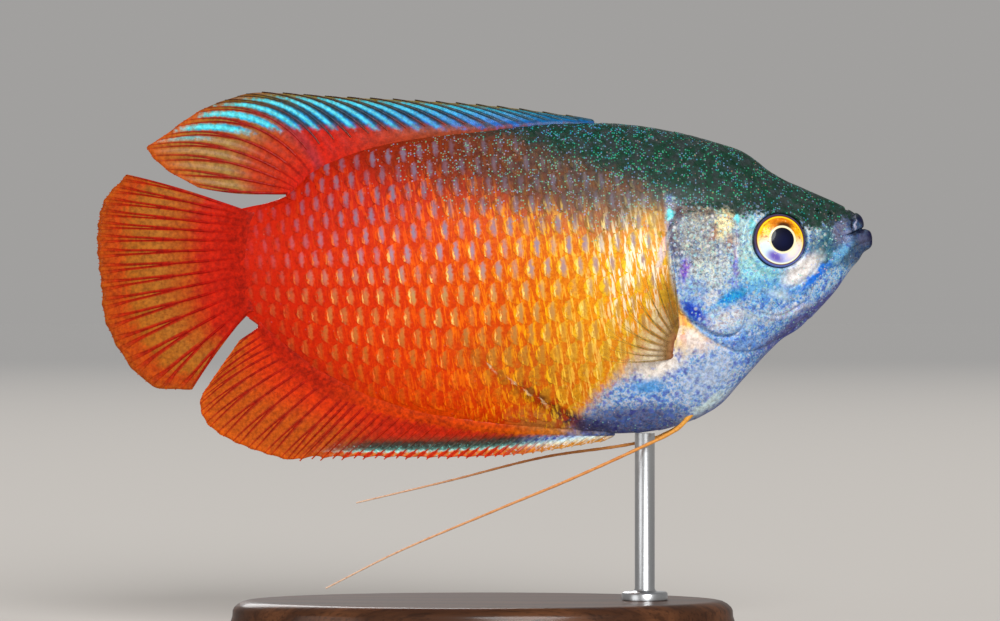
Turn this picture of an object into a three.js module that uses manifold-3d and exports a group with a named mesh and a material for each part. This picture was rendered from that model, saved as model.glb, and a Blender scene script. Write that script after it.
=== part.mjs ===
// A male dwarf gourami of the red form, as a still, life-size model on a display stand.
// Millimetres. The fish faces +X, its left side is +Y, and +Z is up. The origin is the middle of the
// underside of the stand's base. Heights on the fish are measured from the middle of its eye.
import * as THREE from "three";
import { mergeVertices } from "three/addons/utils/BufferGeometryUtils.js";
import Module from "manifold-3d";

const manifold = await Module();
manifold.setup();

// How the fish stands
const SWIM_HEIGHT = 40; // from the table to the middle of the eye
const GAP = 0.3; // between neighbouring pieces
const CUT_GAP = 0.36; // the gap where a sloping flank is grown straight up and out
const SIDES = { right: -1, left: 1 };

// The body from the root of the tail fin to the tip of the lower jaw. Each row holds x, the height of the
// back, the height of the belly, the half width, the height of the widest level, and how keeled the back
// and the belly are: 1 is an ellipse and more is a sharper edge.
const BODY_STATIONS = [
  [-24.6, 3.2, -7.4, 0.75, -2.1, 1, 1],
  [-23.3, 3.5, -8, 1.2, -2.2, 1, 1],
  [-21.5, 3.9, -9.5, 1.6, -2.4, 1, 1.1],
  [-19.5, 4.75, -11.15, 2, -2.6, 1.1, 1.3],
  [-17.3, 6.9, -12.9, 2.4, -2.8, 1.2, 1.4],
  [-13.3, 8.9, -15.2, 3.05, -3, 1.3, 1.5],
  [-8, 10.25, -17.2, 3.8, -3.2, 1.35, 1.5],
  [0, 11.15, -18.8, 4.75, -3.4, 1.35, 1.4],
  [8, 11.85, -19.35, 5.4, -3.5, 1.3, 1.25],
  [15, 11.65, -19.45, 5.7, -3.5, 1.2, 1.15],
  [19.7, 10.85, -18.65, 5.65, -3.5, 1.1, 1.15],
  [23.7, 9.8, -16.7, 5.3, -3.4, 1, 1.15],
  [26.2, 8.9, -14, 4.95, -3.1, 0.95, 1.1],
  [29, 6.85, -11, 4.35, -2.5, 0.9, 1.1],
  [31.6, 5.4, -8.95, 3.55, -1.7, 0.9, 1.1],
  [33.6, 4.5, -6.95, 2.8, -0.9, 0.95, 1.1],
  [35.3, 3.75, -5.05, 2.25, -0.3, 1, 1.1],
  [36.7, 3, -3.05, 1.65, 0.1, 1, 1],
  [37.6, 2.2, -2, 1.2, 0.1, 1, 1],
  [38.05, 1.05, -1.25, 0.85, 0, 1, 1],
  [38.35, 0.6, -0.8, 0.5, -0.1, 1, 1],
  [38.5, 0.2, -0.35, 0.2, -0.1, 1, 1],
];
const TAIL_END = BODY_STATIONS[0][0];
const SNOUT = BODY_STATIONS[BODY_STATIONS.length - 1][0];
const BODY_STEPS = 46;
const BODY_SIDES = 28;
const SNOUT_CROWDING = 1.35; // more than 1 sets the sections closer at the snout
const THIN = 0.05; // the least half size of a shrunken section

// Where the head ends, in side view: down behind the gill cover, then forward under the throat
const GILL_LINE = [
  [18.9, 12.8],
  [18.8, 7],
  [18.8, 2.5],
  [18.8, -2.2],
  [19.6, -6],
  [21.4, -8.8],
  [23.9, -10.5],
  [26.7, -12],
  [29.2, -13.1],
];
const STALK_CUT_X = -19.2; // where the trunk ends and the tail stalk starts

// Gill cover: its outline in side view, past the gill line at the rear, and its thickness
const GILL_COVER = [
  [25.3, 1.7],
  [25.4, -2],
  [25.6, -5.4],
  [26, -7.7],
  [25.2, -9.2],
  [23.4, -9.4],
  [21.3, -8.3],
  [19, -6.4],
  [18.3, -2],
  [18.4, 1.2],
  [20.7, 2.9],
  [23.6, 3.1],
];
const GILL_COVER_RAISED = 0.25;
const GILL_COVER_DEPTH = 0.9;

// Eye: a flattened ball in a socket with a low raised rim
const EYE = { x: 29.7, z: 0, radius: 2.6, bulge: 0.5, depth: 1.9 };
const EYE_RIM = { width: 0.5, height: 0.2, depth: 1 };
const EYE_SEGMENTS = 24;

// Mouth: two lips round the upturned gape, the slit between them and the fold behind the upper lip
const LOWER_LIP = { front: [38.42, 0.42], corner: [36.2, 0], halfWidth: 1.1, radius: 0.5 };
const UPPER_LIP = { front: [37.66, 1.56], corner: [36.2, 1.05], halfWidth: 1.36, radius: 0.38 };
const GAPE = { x: 36.5, z: 0.52, length: 3, width: 6, opening: 0.22, slope: 0.4 };
const LIP_FOLD = { x: 36.85, radius: 0.15 };
const NOSTRILS = [
  { x: 34.6, z: 2.55, radius: 0.3 },
  { x: 33.3, z: 2.95, radius: 0.22 },
];
const NOSTRIL_DEPTH = 0.55;

// Fins, in rows of the ray's number and where that ray runs. The rays between are spread along them.
const FIN_ROOT_DEPTH = 1.2;
const BACK_SPINES = 15;
const BACK_RAYS = 24;
const BACK_GUIDES = [
  // ray, x of its foot on the back, x and z of its tip, bow
  [0, 10.9, 8.3, 12.5, 0],
  [3, 7, 1.4, 13.4, 0.02],
  [7, 0.9, -6.8, 14, 0.05],
  [11, -6.8, -15.8, 14.4, 0.09],
  [14, -12.4, -22.1, 14.8, 0.12],
  [15, -14, -24.3, 14.5, 0.15],
  [17, -16.5, -28.5, 12.9, 0.18],
  [19, -18, -32.5, 10.1, 0.14],
  [20, -18.5, -33.8, 9.2, 0.11],
  [21, -18.9, -33.1, 8.1, 0.08],
  [22, -19.2, -31.5, 6.8, 0.03],
  [23, -19.5, -29, 5.5, -0.03],
];
const ANAL_SPINES = 16;
const ANAL_RAYS = 28;
const ANAL_GUIDES = [
  // ray, x of its foot on the belly, x and z of its tip, bow
  [0, 12.9, 11.7, -20.2, 0],
  [4, 6.6, 3.9, -21.5, 0],
  [8, 0, -3.6, -21.9, 0],
  [12, -6.9, -12, -21.95, 0],
  [15, -12.1, -18.3, -22.1, 0],
  [16, -13.3, -20, -22, 0.01],
  [19, -16.6, -24.8, -20.4, 0.03],
  [21, -18.4, -27.6, -18.6, 0.04],
  [23, -19.9, -28.4, -16.3, 0.04],
  [25, -21.1, -27.2, -14.1, 0.03],
  [27, -22.3, -24.6, -10.4, 0],
];
const TAIL_RAYS = 15;
const TAIL_FOOT_X = -23.4;
const TAIL_GUIDES = [
  // ray, z of its foot in the tail stalk, x and z of its tip, bow
  [0, 2.7, -36.1, 6.4, 0.02],
  [2, 1.9, -38.2, 4, 0.01],
  [5, -0.1, -38.92, 0.2, 0],
  [8, -2.6, -38.5, -4.6, 0],
  [10, -4.2, -38, -8.4, 0],
  [12, -5.8, -35.5, -12.8, 0.01],
  [13, -6.5, -32.9, -14.9, 0.02],
  [14, -7.1, -29.8, -15.1, 0.02],
];
const PECTORAL_RAYS = 10;
const PECTORAL_GUIDES = [
  // ray, x and z of its foot, x and z of its tip, bow
  [0, 19.4, -9, 18.4, -1.6, 0.02],
  [3, 19.2, -9.8, 15.7, -3.2, 0],
  [5, 19.1, -10.4, 13.5, -5.7, -0.02],
  [7, 19, -11, 11.9, -8.8, -0.03],
  [9, 18.9, -11.7, 11.7, -11.7, -0.03],
];
const PECTORAL_SINK = 0.35; // how far the feet of its rays lie under the flank
const PECTORAL_FLARE = 0.62; // how far it swings out for each millimetre from its foot
const SWAY = { from: -18, over: 21, tail: 1.3, back: -0.8, anal: 0.5 }; // sideways at the fins' rear ends

// Half thickness of each fin's web, and how far its rays stand out of it, at the root and at the margin
const FIN_WEB = { web: [0.28, 0.16], ridge: [0.2, 0.07] };
const PECTORAL_WEB = { web: [0.4, 0.15], ridge: [0.16, 0.06] };

// The columns of points that make one ray: how far each lies beside its middle, as a share of the way to
// the next ray, how much of the ridge stands there and how far out it reaches
const SPINE = [
  { beside: -0.22, ridge: 0, reach: 0.88 },
  { beside: 0, ridge: 1, reach: 1 },
  { beside: 0.22, ridge: 0, reach: 0.88 },
];
const SOFT_RAY = [
  { beside: -0.25, ridge: 0, reach: 0.98 },
  { beside: 0, ridge: 1, reach: 1 },
  { beside: 0.25, ridge: 0, reach: 0.98 },
];
const FORKED_RAY = [
  { beside: -0.36, ridge: 0, reach: 0.985, forked: true },
  { beside: -0.2, ridge: 1, reach: 1, forked: true },
  { beside: 0, ridge: 1, reach: 0.99, parts: true },
  { beside: 0.2, ridge: 1, reach: 1, forked: true },
  { beside: 0.36, ridge: 0, reach: 0.985, forked: true },
];
const FORK = { from: 0.4, closed: 0.4 }; // where a forked ray parts, and how close its halves lie before

// Threadlike pelvic fins, from their roots in the breast: rows of x, distance from the middle, z
const FEELERS = {
  right: [
    [20.9, 1, -17.3],
    [19.3, 1.5, -18.9],
    [15.7, 2.4, -20.7],
    [8.3, 3.3, -24],
    [1.7, 4.1, -26.7],
    [-8.3, 5.3, -30.9],
    [-15.5, 6, -34.5],
  ],
  left: [
    [20.9, 1, -17.3],
    [19.3, 1.5, -18.9],
    [15.7, 2.4, -20.3],
    [6.2, 3.4, -21.8],
    [-3.3, 4.6, -24.2],
    [-12.8, 5.6, -26.5],
  ],
};
const FEELER_RADIUS = [0.34, 0.14];

// Display stand: an oval wooden base with a moulded edge, and one steel rod with a foot plate
const BASE = { length: 52, width: 30, height: 4 };
const ROD = { x: 16.2, radius: 1, footRadius: 2.3, footHeight: 0.8, sink: 3 };

const FINISH = {
  head: { color: 0x6f8f98, roughness: 0.35, metalness: 0.25 },
  gillCover: { color: 0x9fb6bf, roughness: 0.3, metalness: 0.35 },
  trunk: { color: 0xc8641e, roughness: 0.4, metalness: 0.15 },
  tailStalk: { color: 0xb02a14, roughness: 0.4, metalness: 0.15 },
  eye: { color: 0xd98a1a, roughness: 0.1, metalness: 0.1 },
  backFin: { color: 0x4a7f9a, roughness: 0.45, metalness: 0.1 },
  redFin: { color: 0xb5501f, roughness: 0.45, metalness: 0.05 },
  clearFin: { color: 0x9a7a3c, roughness: 0.45, metalness: 0 },
  feeler: { color: 0xd08a4e, roughness: 0.5, metalness: 0 },
  walnut: { color: 0x4a2d1b, roughness: 0.5, metalness: 0 },
  steel: { color: 0xb8bcc0, roughness: 0.3, metalness: 1 },
};

// A smooth curve through the rows of a table whose first column rises, read at one place
function slopeAt(rows, index, column) {
  const before = rows[Math.max(index - 1, 0)];
  const after = rows[Math.min(index + 1, rows.length - 1)];
  return (after[column] - before[column]) / (after[0] - before[0]);
}

function along(rows, column, place) {
  let index = 0;
  while (index < rows.length - 2 && place > rows[index + 1][0]) index++;
  const from = rows[index];
  const to = rows[index + 1];
  const span = to[0] - from[0];
  const t = (place - from[0]) / span;
  if (t <= 0) return from[column] + t * span * slopeAt(rows, index, column);
  if (t >= 1) return to[column] + (t - 1) * span * slopeAt(rows, index + 1, column);
  return (
    (2 * t ** 3 - 3 * t ** 2 + 1) * from[column] +
    (t ** 3 - 2 * t ** 2 + t) * span * slopeAt(rows, index, column) +
    (3 * t ** 2 - 2 * t ** 3) * to[column] +
    (t ** 3 - t ** 2) * span * slopeAt(rows, index + 1, column)
  );
}

// The body's section at x, grown or shrunken all round
function bodySection(x, grow = 0) {
  const place = THREE.MathUtils.clamp(x, TAIL_END, SNOUT);
  const [back, belly, halfWidth, widest, backKeel, bellyKeel] = [1, 2, 3, 4, 5, 6].map((column) =>
    along(BODY_STATIONS, column, place),
  );
  return {
    widest,
    backKeel,
    bellyKeel,
    above: Math.max(back - widest + grow, THIN),
    below: Math.max(widest - belly + grow, THIN),
    halfWidth: Math.max(halfWidth + grow, THIN),
  };
}

function backHeight(x) {
  const section = bodySection(x);
  return section.widest + section.above;
}

function bellyHeight(x) {
  const section = bodySection(x);
  return section.widest - section.below;
}

// Half the body's width at a place in side view
function flank(x, z) {
  const section = bodySection(x);
  const rise = z - section.widest;
  const share = rise > 0 ? rise / section.above : -rise / section.below;
  const keel = rise > 0 ? section.backKeel : section.bellyKeel;
  return section.halfWidth * Math.sqrt(Math.max(1 - share ** 2, 0)) ** keel;
}

function flankPoint(x, z, side) {
  return new THREE.Vector3(x, side * flank(x, z), z);
}

function flankNormal(x, z, side) {
  const step = 0.1;
  const alongX = (flank(x + step, z) - flank(x - step, z)) / (2 * step);
  const alongZ = (flank(x, z + step) - flank(x, z - step)) / (2 * step);
  return new THREE.Vector3(-alongX, side, -alongZ).normalize();
}

// Rings of points become a closed skin with a fan over each end. The points of a ring run
// anticlockwise about the way from ring to ring.
function loft(rings) {
  const count = rings[0].length;
  const points = rings.flat();
  const triangles = [];
  for (let ring = 0; ring < rings.length - 1; ring++) {
    for (let j = 0; j < count; j++) {
      const here = ring * count + j;
      const next = ring * count + ((j + 1) % count);
      triangles.push(here, next, next + count, here, next + count, here + count);
    }
  }
  for (const [ring, turn] of [
    [0, -1],
    [rings.length - 1, 1],
  ]) {
    const middle = new THREE.Vector3();
    for (const point of rings[ring]) middle.addScaledVector(point, 1 / count);
    const hub = points.push(middle) - 1;
    for (let j = 0; j < count; j++) {
      const here = ring * count + j;
      const next = ring * count + ((j + 1) % count);
      triangles.push(...(turn > 0 ? [hub, here, next] : [hub, next, here]));
    }
  }
  return meshOf(points, triangles);
}

function meshOf(points, triangles) {
  const geometry = new THREE.BufferGeometry().setFromPoints(points);
  geometry.setIndex(triangles);
  return geometry;
}

function bodyShape(grow) {
  const ends = Math.max(grow, 0);
  const rings = [];
  for (let i = 0; i <= BODY_STEPS; i++) {
    const place = (i / BODY_STEPS) ** SNOUT_CROWDING;
    const station = THREE.MathUtils.lerp(SNOUT, TAIL_END, place);
    const x = station + (i === 0 ? ends : i === BODY_STEPS ? -ends : 0);
    const section = bodySection(x, grow);
    const ring = [];
    for (let j = 0; j < BODY_SIDES; j++) {
      const turn = (-2 * Math.PI * j) / BODY_SIDES;
      const rise = Math.sin(turn);
      const reach = Math.cos(turn);
      const keel = rise > 0 ? section.backKeel : section.bellyKeel;
      const y = section.halfWidth * Math.sign(reach) * Math.abs(reach) ** keel;
      const z = section.widest + rise * (rise > 0 ? section.above : section.below);
      ring.push(new THREE.Vector3(x, y, z));
    }
    rings.push(ring);
  }
  return loft(rings);
}

// A round thread along a smooth path, with its own radius at each end
function thread(path, radii, sides, steps) {
  const curve = new THREE.CatmullRomCurve3(path);
  const frames = curve.computeFrenetFrames(steps, false);
  const rings = [];
  for (let i = 0; i <= steps; i++) {
    const centre = curve.getPointAt(i / steps);
    const radius = THREE.MathUtils.lerp(radii[0], radii[1], i / steps);
    const ring = [];
    for (let j = 0; j < sides; j++) {
      const turn = (2 * Math.PI * j) / sides;
      const point = centre.clone();
      point.addScaledVector(frames.normals[i], radius * Math.cos(turn));
      point.addScaledVector(frames.binormals[i], radius * Math.sin(turn));
      ring.push(point);
    }
    rings.push(ring);
  }
  return loft(rings);
}

// A straight wall through the body across its whole width, from an outline in side view
function acrossBody(outline) {
  const halfDepth = 12;
  const shape = new THREE.Shape(outline);
  const geometry = new THREE.ExtrudeGeometry(shape, { depth: 2 * halfDepth, bevelEnabled: false });
  return geometry.rotateX(Math.PI / 2).translate(0, halfDepth, 0);
}

// Points beside a line in side view, at a distance to its left
function beside(points, distance, closed) {
  const last = points.length - 1;
  return points.map((point, i) => {
    const before = points[closed ? (i + last) % (last + 1) : Math.max(i - 1, 0)];
    const after = points[closed ? (i + 1) % (last + 1) : Math.min(i + 1, last)];
    const ahead = after.clone().sub(before).normalize();
    return new THREE.Vector2(point.x - ahead.y * distance, point.y + ahead.x * distance);
  });
}

function smoothOutline(rows, steps) {
  const path = rows.map(([x, z]) => new THREE.Vector3(x, z, 0));
  const curve = new THREE.CatmullRomCurve3(path, true);
  const points = curve.getSpacedPoints(steps).slice(0, steps);
  return points.map((point) => new THREE.Vector2(point.x, point.y));
}

// Solids and their joins and cuts
function solid(geometry) {
  const bare = geometry.clone();
  bare.deleteAttribute("normal");
  bare.deleteAttribute("uv");
  const merged = mergeVertices(bare, 1e-4);
  const triVerts = new Uint32Array(merged.index.array);
  const vertProperties = new Float32Array(merged.attributes.position.array);
  const made = new manifold.Manifold(new manifold.Mesh({ numProp: 3, vertProperties, triVerts }));
  if (made.volume() >= 0) return made;
  for (let i = 0; i < triVerts.length; i += 3) {
    [triVerts[i + 1], triVerts[i + 2]] = [triVerts[i + 2], triVerts[i + 1]];
  }
  return new manifold.Manifold(new manifold.Mesh({ numProp: 3, vertProperties, triVerts }));
}

function geometryOf(made) {
  const mesh = made.getMesh();
  const geometry = new THREE.BufferGeometry();
  geometry.setAttribute("position", new THREE.BufferAttribute(mesh.vertProperties, mesh.numProp));
  geometry.setIndex(new THREE.BufferAttribute(mesh.triVerts, 1));
  return geometry;
}

function largest(made, wanted = () => true) {
  const pieces = made.decompose().filter(wanted);
  return pieces.reduce((best, piece) => (piece.volume() > best.volume() ? piece : best));
}

function middleOf(made, axis) {
  const box = made.boundingBox();
  return (box.min[axis] + box.max[axis]) / 2;
}

const fish = new THREE.Group();
fish.position.z = SWIM_HEIGHT;
const object = new THREE.Group();
object.add(fish);

function addPiece(group, name, made, finish) {
  const geometry = geometryOf(made).toNonIndexed();
  geometry.computeVertexNormals();
  const mesh = new THREE.Mesh(geometry, new THREE.MeshStandardMaterial(FINISH[finish]));
  mesh.name = name;
  group.add(mesh);
}

// The flesh: one body, parted by two thin cuts
const wholeBody = solid(bodyShape(0));
const grownBody = solid(bodyShape(CUT_GAP));

function gillCut() {
  const curve = new THREE.SplineCurve(GILL_LINE.map(([x, z]) => new THREE.Vector2(x, z)));
  const points = curve.getSpacedPoints(28);
  const wall = [...beside(points, GAP / 2, false), ...beside(points, -GAP / 2, false).reverse()];
  return solid(acrossBody(wall));
}

function stalkCut() {
  const height = 60;
  const wall = new THREE.BoxGeometry(GAP, height, height);
  return solid(wall.translate(STALK_CUT_X, 0, 0));
}

const gillGap = gillCut();
const behindHead = wholeBody.subtract(gillGap);
const plainHead = largest(behindHead, (piece) => middleOf(piece, 0) > GILL_LINE[0][0]);
const rest = largest(behindHead, (piece) => middleOf(piece, 0) < GILL_LINE[0][0]);
const parted = rest.subtract(stalkCut());
addPiece(fish, "trunk", largest(parted, (piece) => middleOf(piece, 0) > STALK_CUT_X), "trunk");
addPiece(fish, "tail_stalk", largest(parted, (piece) => middleOf(piece, 0) < STALK_CUT_X), "tailStalk");

// Gill covers: thin plates bent like the flank, raised a little, each in a shallow bed in the head
const coverOutline = smoothOutline(GILL_COVER, 40);
const coverPlates = solid(bodyShape(GILL_COVER_RAISED))
  .intersect(solid(acrossBody(coverOutline)))
  .subtract(solid(bodyShape(-GILL_COVER_DEPTH)))
  .subtract(gillGap);
const coverTurn = THREE.ShapeUtils.isClockWise(coverOutline) ? 1 : -1;
const coverBed = solid(acrossBody(beside(coverOutline, coverTurn * GAP, true))).subtract(
  solid(bodyShape(-GILL_COVER_DEPTH - GAP)),
);
for (const [name, side] of Object.entries(SIDES)) {
  const plate = largest(coverPlates, (piece) => middleOf(piece, 1) * side > 0);
  addPiece(fish, `gill_cover_${name}`, plate, "gillCover");
}

// Eyes: each turned to look straight out of the flank
function onFlank(geometry, x, z, side) {
  const up = new THREE.Vector3(0, 1, 0);
  geometry.applyQuaternion(new THREE.Quaternion().setFromUnitVectors(up, flankNormal(x, z, side)));
  return geometry.translate(...flankPoint(x, z, side).toArray());
}

function turned(profile, segments) {
  return new THREE.LatheGeometry(
    profile.map(([radius, height]) => new THREE.Vector2(radius, height)),
    segments,
  );
}

function eyeBall(side) {
  const { radius, bulge, depth } = EYE;
  const profile = [[0, -depth]];
  for (const share of [0.55, 0.85, 1]) {
    profile.push([radius * share, -0.25 - (depth - 0.25) * Math.sqrt(1 - share ** 2)]);
  }
  for (const share of [0.98, 0.8, 0.58, 0.33]) {
    profile.push([radius * share, bulge * (1 - share ** 2)]);
  }
  profile.push([0, bulge]);
  return solid(onFlank(turned(profile, EYE_SEGMENTS), EYE.x, EYE.z, side));
}

function eyeSocket(side) {
  const radius = EYE.radius + GAP;
  const depth = EYE.depth + GAP;
  const profile = [
    [0, -depth],
    [radius * 0.6, -depth * 0.88],
    [radius * 0.9, -depth * 0.55],
    [radius, -0.25],
    [radius, 3],
    [0, 3],
  ];
  return solid(onFlank(turned(profile, EYE_SEGMENTS), EYE.x, EYE.z, side));
}

function eyeRim(side) {
  const inner = EYE.radius;
  const outer = EYE.radius + GAP + EYE_RIM.width;
  const profile = [
    [inner, -EYE_RIM.depth],
    [outer, -EYE_RIM.depth],
    [outer, -EYE_RIM.height],
    [outer - EYE_RIM.width / 2, EYE_RIM.height * 0.7],
    [inner + GAP, EYE_RIM.height],
    [inner, EYE_RIM.height],
    [inner, -EYE_RIM.depth],
  ];
  return solid(onFlank(turned(profile, EYE_SEGMENTS), EYE.x, EYE.z, side));
}

// Mouth and nostrils
function lip({ front, corner, halfWidth, radius }) {
  const path = [-1, -0.62, 0, 0.62, 1].map((share) => {
    const ahead = Math.sqrt(1 - share ** 2);
    const x = THREE.MathUtils.lerp(corner[0], front[0], ahead);
    const z = THREE.MathUtils.lerp(corner[1], front[1], ahead);
    return new THREE.Vector3(x, share * halfWidth, z);
  });
  return solid(thread(path, [radius, radius], 8, 12));
}

function gapeSlit() {
  const slit = new THREE.BoxGeometry(GAPE.length, GAPE.width, GAPE.opening);
  slit.translate(GAPE.length / 2, 0, 0).rotateY(-GAPE.slope).translate(GAPE.x, 0, GAPE.z);
  return solid(slit);
}

function lipFold() {
  const path = [-1, -0.75, -0.35, 0, 0.35, 0.75, 1].map((share) => {
    const turn = (Math.PI / 2) * (1 - Math.abs(share));
    const x = LIP_FOLD.x - 0.35 * share ** 2;
    const section = bodySection(x);
    const y = section.halfWidth * Math.sign(share) * Math.cos(turn);
    return new THREE.Vector3(x, y, section.widest + section.above * Math.sin(turn));
  });
  return solid(thread(path, [LIP_FOLD.radius, LIP_FOLD.radius], 6, 16));
}

function nostril({ x, z, radius }, side) {
  const profile = [
    [0, -NOSTRIL_DEPTH],
    [radius * 0.7, -NOSTRIL_DEPTH],
    [radius, 1],
    [0, 1],
  ];
  return solid(onFlank(turned(profile, 10), x, z, side));
}

let head = plainHead.subtract(coverBed).add(lip(LOWER_LIP)).add(lip(UPPER_LIP));
head = head.subtract(gapeSlit()).subtract(lipFold());
for (const side of Object.values(SIDES)) {
  head = head.add(eyeRim(side)).subtract(eyeSocket(side));
  for (const place of NOSTRILS) head = head.subtract(nostril(place, side));
}
addPiece(fish, "head", largest(head), "head");
for (const [name, side] of Object.entries(SIDES)) {
  addPiece(fish, `eye_${name}`, eyeBall(side), "eye");
}

// A fin: a thin sheet from its root, sunk in the flesh, out to its margin, with each ray raised in both
// faces. Columns of points run along the rays, and both faces are split into the same triangles.
function finSheet({ rays, rows, kind, ray, middle, thickness }) {
  const faces = [[], []];
  let columns = 0;
  for (let k = 0; k < rays; k++) {
    for (const column of kind(k)) {
      for (let row = -1; row <= rows; row++) {
        const share = (Math.max(row, 0) / rows) * column.reach;
        const { point, foot } = finPoint(ray, k, column, share, row < 0);
        const out = row < 0 ? -FIN_ROOT_DEPTH : point.distanceTo(foot);
        const y = middle(point, foot, out);
        const half = halfThickness(thickness, column, share);
        faces[0].push(new THREE.Vector3(point.x, y + half, point.y));
        faces[1].push(new THREE.Vector3(point.x, y - half, point.y));
      }
      columns++;
    }
  }
  return sheet(faces, columns, rows + 2);
}

function finPoint(ray, k, column, share, sunk) {
  const open = THREE.MathUtils.smoothstep(share, FORK.from, 1);
  const spread = column.forked ? THREE.MathUtils.lerp(FORK.closed, 1, open) : 1;
  const place = k + column.beside * spread;
  const { foot, tip, bow } = ray(place);
  const ahead = tip.clone().sub(foot);
  const across = new THREE.Vector2(ahead.y, -ahead.x);
  const point = foot.clone().addScaledVector(ahead, share);
  point.addScaledVector(across, bow * 4 * share * (1 - share));
  if (sunk) {
    const base = ray(place + 0.1).foot.sub(ray(place - 0.1).foot).normalize();
    const inward = new THREE.Vector2(base.y, -base.x);
    if (inward.dot(ahead) > 0) inward.negate();
    point.addScaledVector(inward, FIN_ROOT_DEPTH);
  }
  return { point, foot };
}

function halfThickness({ web, ridge }, column, share) {
  const parted = column.parts ? THREE.MathUtils.smoothstep(share, FORK.from, FORK.from + 0.25) : 0;
  const raised = column.ridge * (1 - parted) * THREE.MathUtils.lerp(ridge[0], ridge[1], share);
  return THREE.MathUtils.lerp(web[0], web[1], share) + raised;
}

// Two faces of the same grid of points, closed round their edges
function sheet(faces, columns, rows) {
  const other = faces[0].length;
  const triangles = [];
  for (let column = 0; column < columns - 1; column++) {
    for (let row = 0; row < rows - 1; row++) {
      const a = column * rows + row;
      const b = a + rows;
      triangles.push(a, b, b + 1, a, b + 1, a + 1);
      triangles.push(other + a, other + b + 1, other + b, other + a, other + a + 1, other + b + 1);
    }
  }
  const edge = [];
  for (let column = 0; column < columns - 1; column++) edge.push(column * rows);
  for (let row = 0; row < rows - 1; row++) edge.push((columns - 1) * rows + row);
  for (let column = columns - 1; column > 0; column--) edge.push(column * rows + rows - 1);
  for (let row = rows - 1; row > 0; row--) edge.push(row);
  edge.forEach((here, i) => {
    const next = edge[(i + 1) % edge.length];
    triangles.push(next, here, other + here, next, other + here, other + next);
  });
  return meshOf([...faces[0], ...faces[1]], triangles);
}

function swayed(point, amount) {
  return amount * (Math.max(SWAY.from - point.x, 0) / SWAY.over) ** 2;
}

// Where one ray runs: its foot, its tip and how it bows
function backRay(place) {
  const [footX, tipX, tipZ, bow] = [1, 2, 3, 4].map((column) => along(BACK_GUIDES, column, place));
  const foot = new THREE.Vector2(footX, backHeight(footX));
  return { foot, tip: new THREE.Vector2(tipX, tipZ), bow };
}

function analRay(place) {
  const [footX, tipX, tipZ, bow] = [1, 2, 3, 4].map((column) => along(ANAL_GUIDES, column, place));
  const foot = new THREE.Vector2(footX, bellyHeight(footX));
  return { foot, tip: new THREE.Vector2(tipX, tipZ), bow };
}

function tailRay(place) {
  const [footZ, tipX, tipZ, bow] = [1, 2, 3, 4].map((column) => along(TAIL_GUIDES, column, place));
  const foot = new THREE.Vector2(TAIL_FOOT_X, footZ);
  return { foot, tip: new THREE.Vector2(tipX, tipZ), bow };
}

function pectoralRay(place) {
  const columns = [1, 2, 3, 4, 5];
  const [footX, footZ, tipX, tipZ, bow] = columns.map((column) => along(PECTORAL_GUIDES, column, place));
  const foot = new THREE.Vector2(footX, footZ);
  return { foot, tip: new THREE.Vector2(tipX, tipZ), bow };
}

function finOn(sheetGeometry) {
  return largest(solid(sheetGeometry).subtract(grownBody));
}

const backFin = finSheet({
  rays: BACK_RAYS,
  rows: 4,
  kind: (k) => (k < BACK_SPINES ? SPINE : SOFT_RAY),
  ray: backRay,
  middle: (point) => swayed(point, SWAY.back),
  thickness: FIN_WEB,
});
addPiece(fish, "dorsal_fin", finOn(backFin), "backFin");

const analFin = finSheet({
  rays: ANAL_RAYS,
  rows: 4,
  kind: (k) => (k < ANAL_SPINES ? SPINE : SOFT_RAY),
  ray: analRay,
  middle: (point) => swayed(point, SWAY.anal),
  thickness: FIN_WEB,
});
addPiece(fish, "anal_fin", finOn(analFin), "redFin");

const tailFin = finSheet({
  rays: TAIL_RAYS,
  rows: 5,
  kind: () => FORKED_RAY,
  ray: tailRay,
  middle: (point) => swayed(point, SWAY.tail),
  thickness: FIN_WEB,
});
addPiece(fish, "tail_fin", finOn(tailFin), "redFin");

for (const [name, side] of Object.entries(SIDES)) {
  const fin = finSheet({
    rays: PECTORAL_RAYS,
    rows: 4,
    kind: () => SOFT_RAY,
    ray: pectoralRay,
    middle: (point, foot, out) => side * (flank(foot.x, foot.y) - PECTORAL_SINK + PECTORAL_FLARE * out),
    thickness: PECTORAL_WEB,
  });
  addPiece(fish, `pectoral_fin_${name}`, finOn(fin), "clearFin");
}

for (const [name, side] of Object.entries(SIDES)) {
  const path = FEELERS[name].map(([x, out, z]) => new THREE.Vector3(x, side * out, z));
  const feeler = solid(thread(path, FEELER_RADIUS, 6, 20)).subtract(grownBody);
  addPiece(fish, `pelvic_feeler_${name}`, largest(feeler), "feeler");
}

// Stand: the base is turned and made oval, and the rod ends just under the belly
function standBase() {
  const radius = BASE.length / 2;
  const profile = [
    [0, 0],
    [radius, 0],
    [radius, 1.1],
    [radius - 0.5, 1.5],
    [radius - 0.9, 2.1],
    [radius - 1, 3],
    [radius - 1.5, 3.7],
    [radius - 2.4, BASE.height],
    [0, BASE.height],
  ];
  const geometry = turned(profile, 48).rotateX(Math.PI / 2);
  return solid(geometry.scale(1, BASE.width / BASE.length, 1));
}

function standRod() {
  const foot = BASE.height + GAP;
  const top = SWIM_HEIGHT + bellyHeight(ROD.x) + ROD.sink;
  const profile = [
    [0, foot],
    [ROD.footRadius, foot],
    [ROD.footRadius, foot + ROD.footHeight * 0.6],
    [ROD.footRadius - 0.4, foot + ROD.footHeight],
    [ROD.radius, foot + ROD.footHeight],
    [ROD.radius, top],
    [0, top],
  ];
  const rod = solid(turned(profile, 20).rotateX(Math.PI / 2).translate(ROD.x, 0, 0));
  return largest(rod.subtract(grownBody.translate([0, 0, SWIM_HEIGHT])));
}

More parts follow.
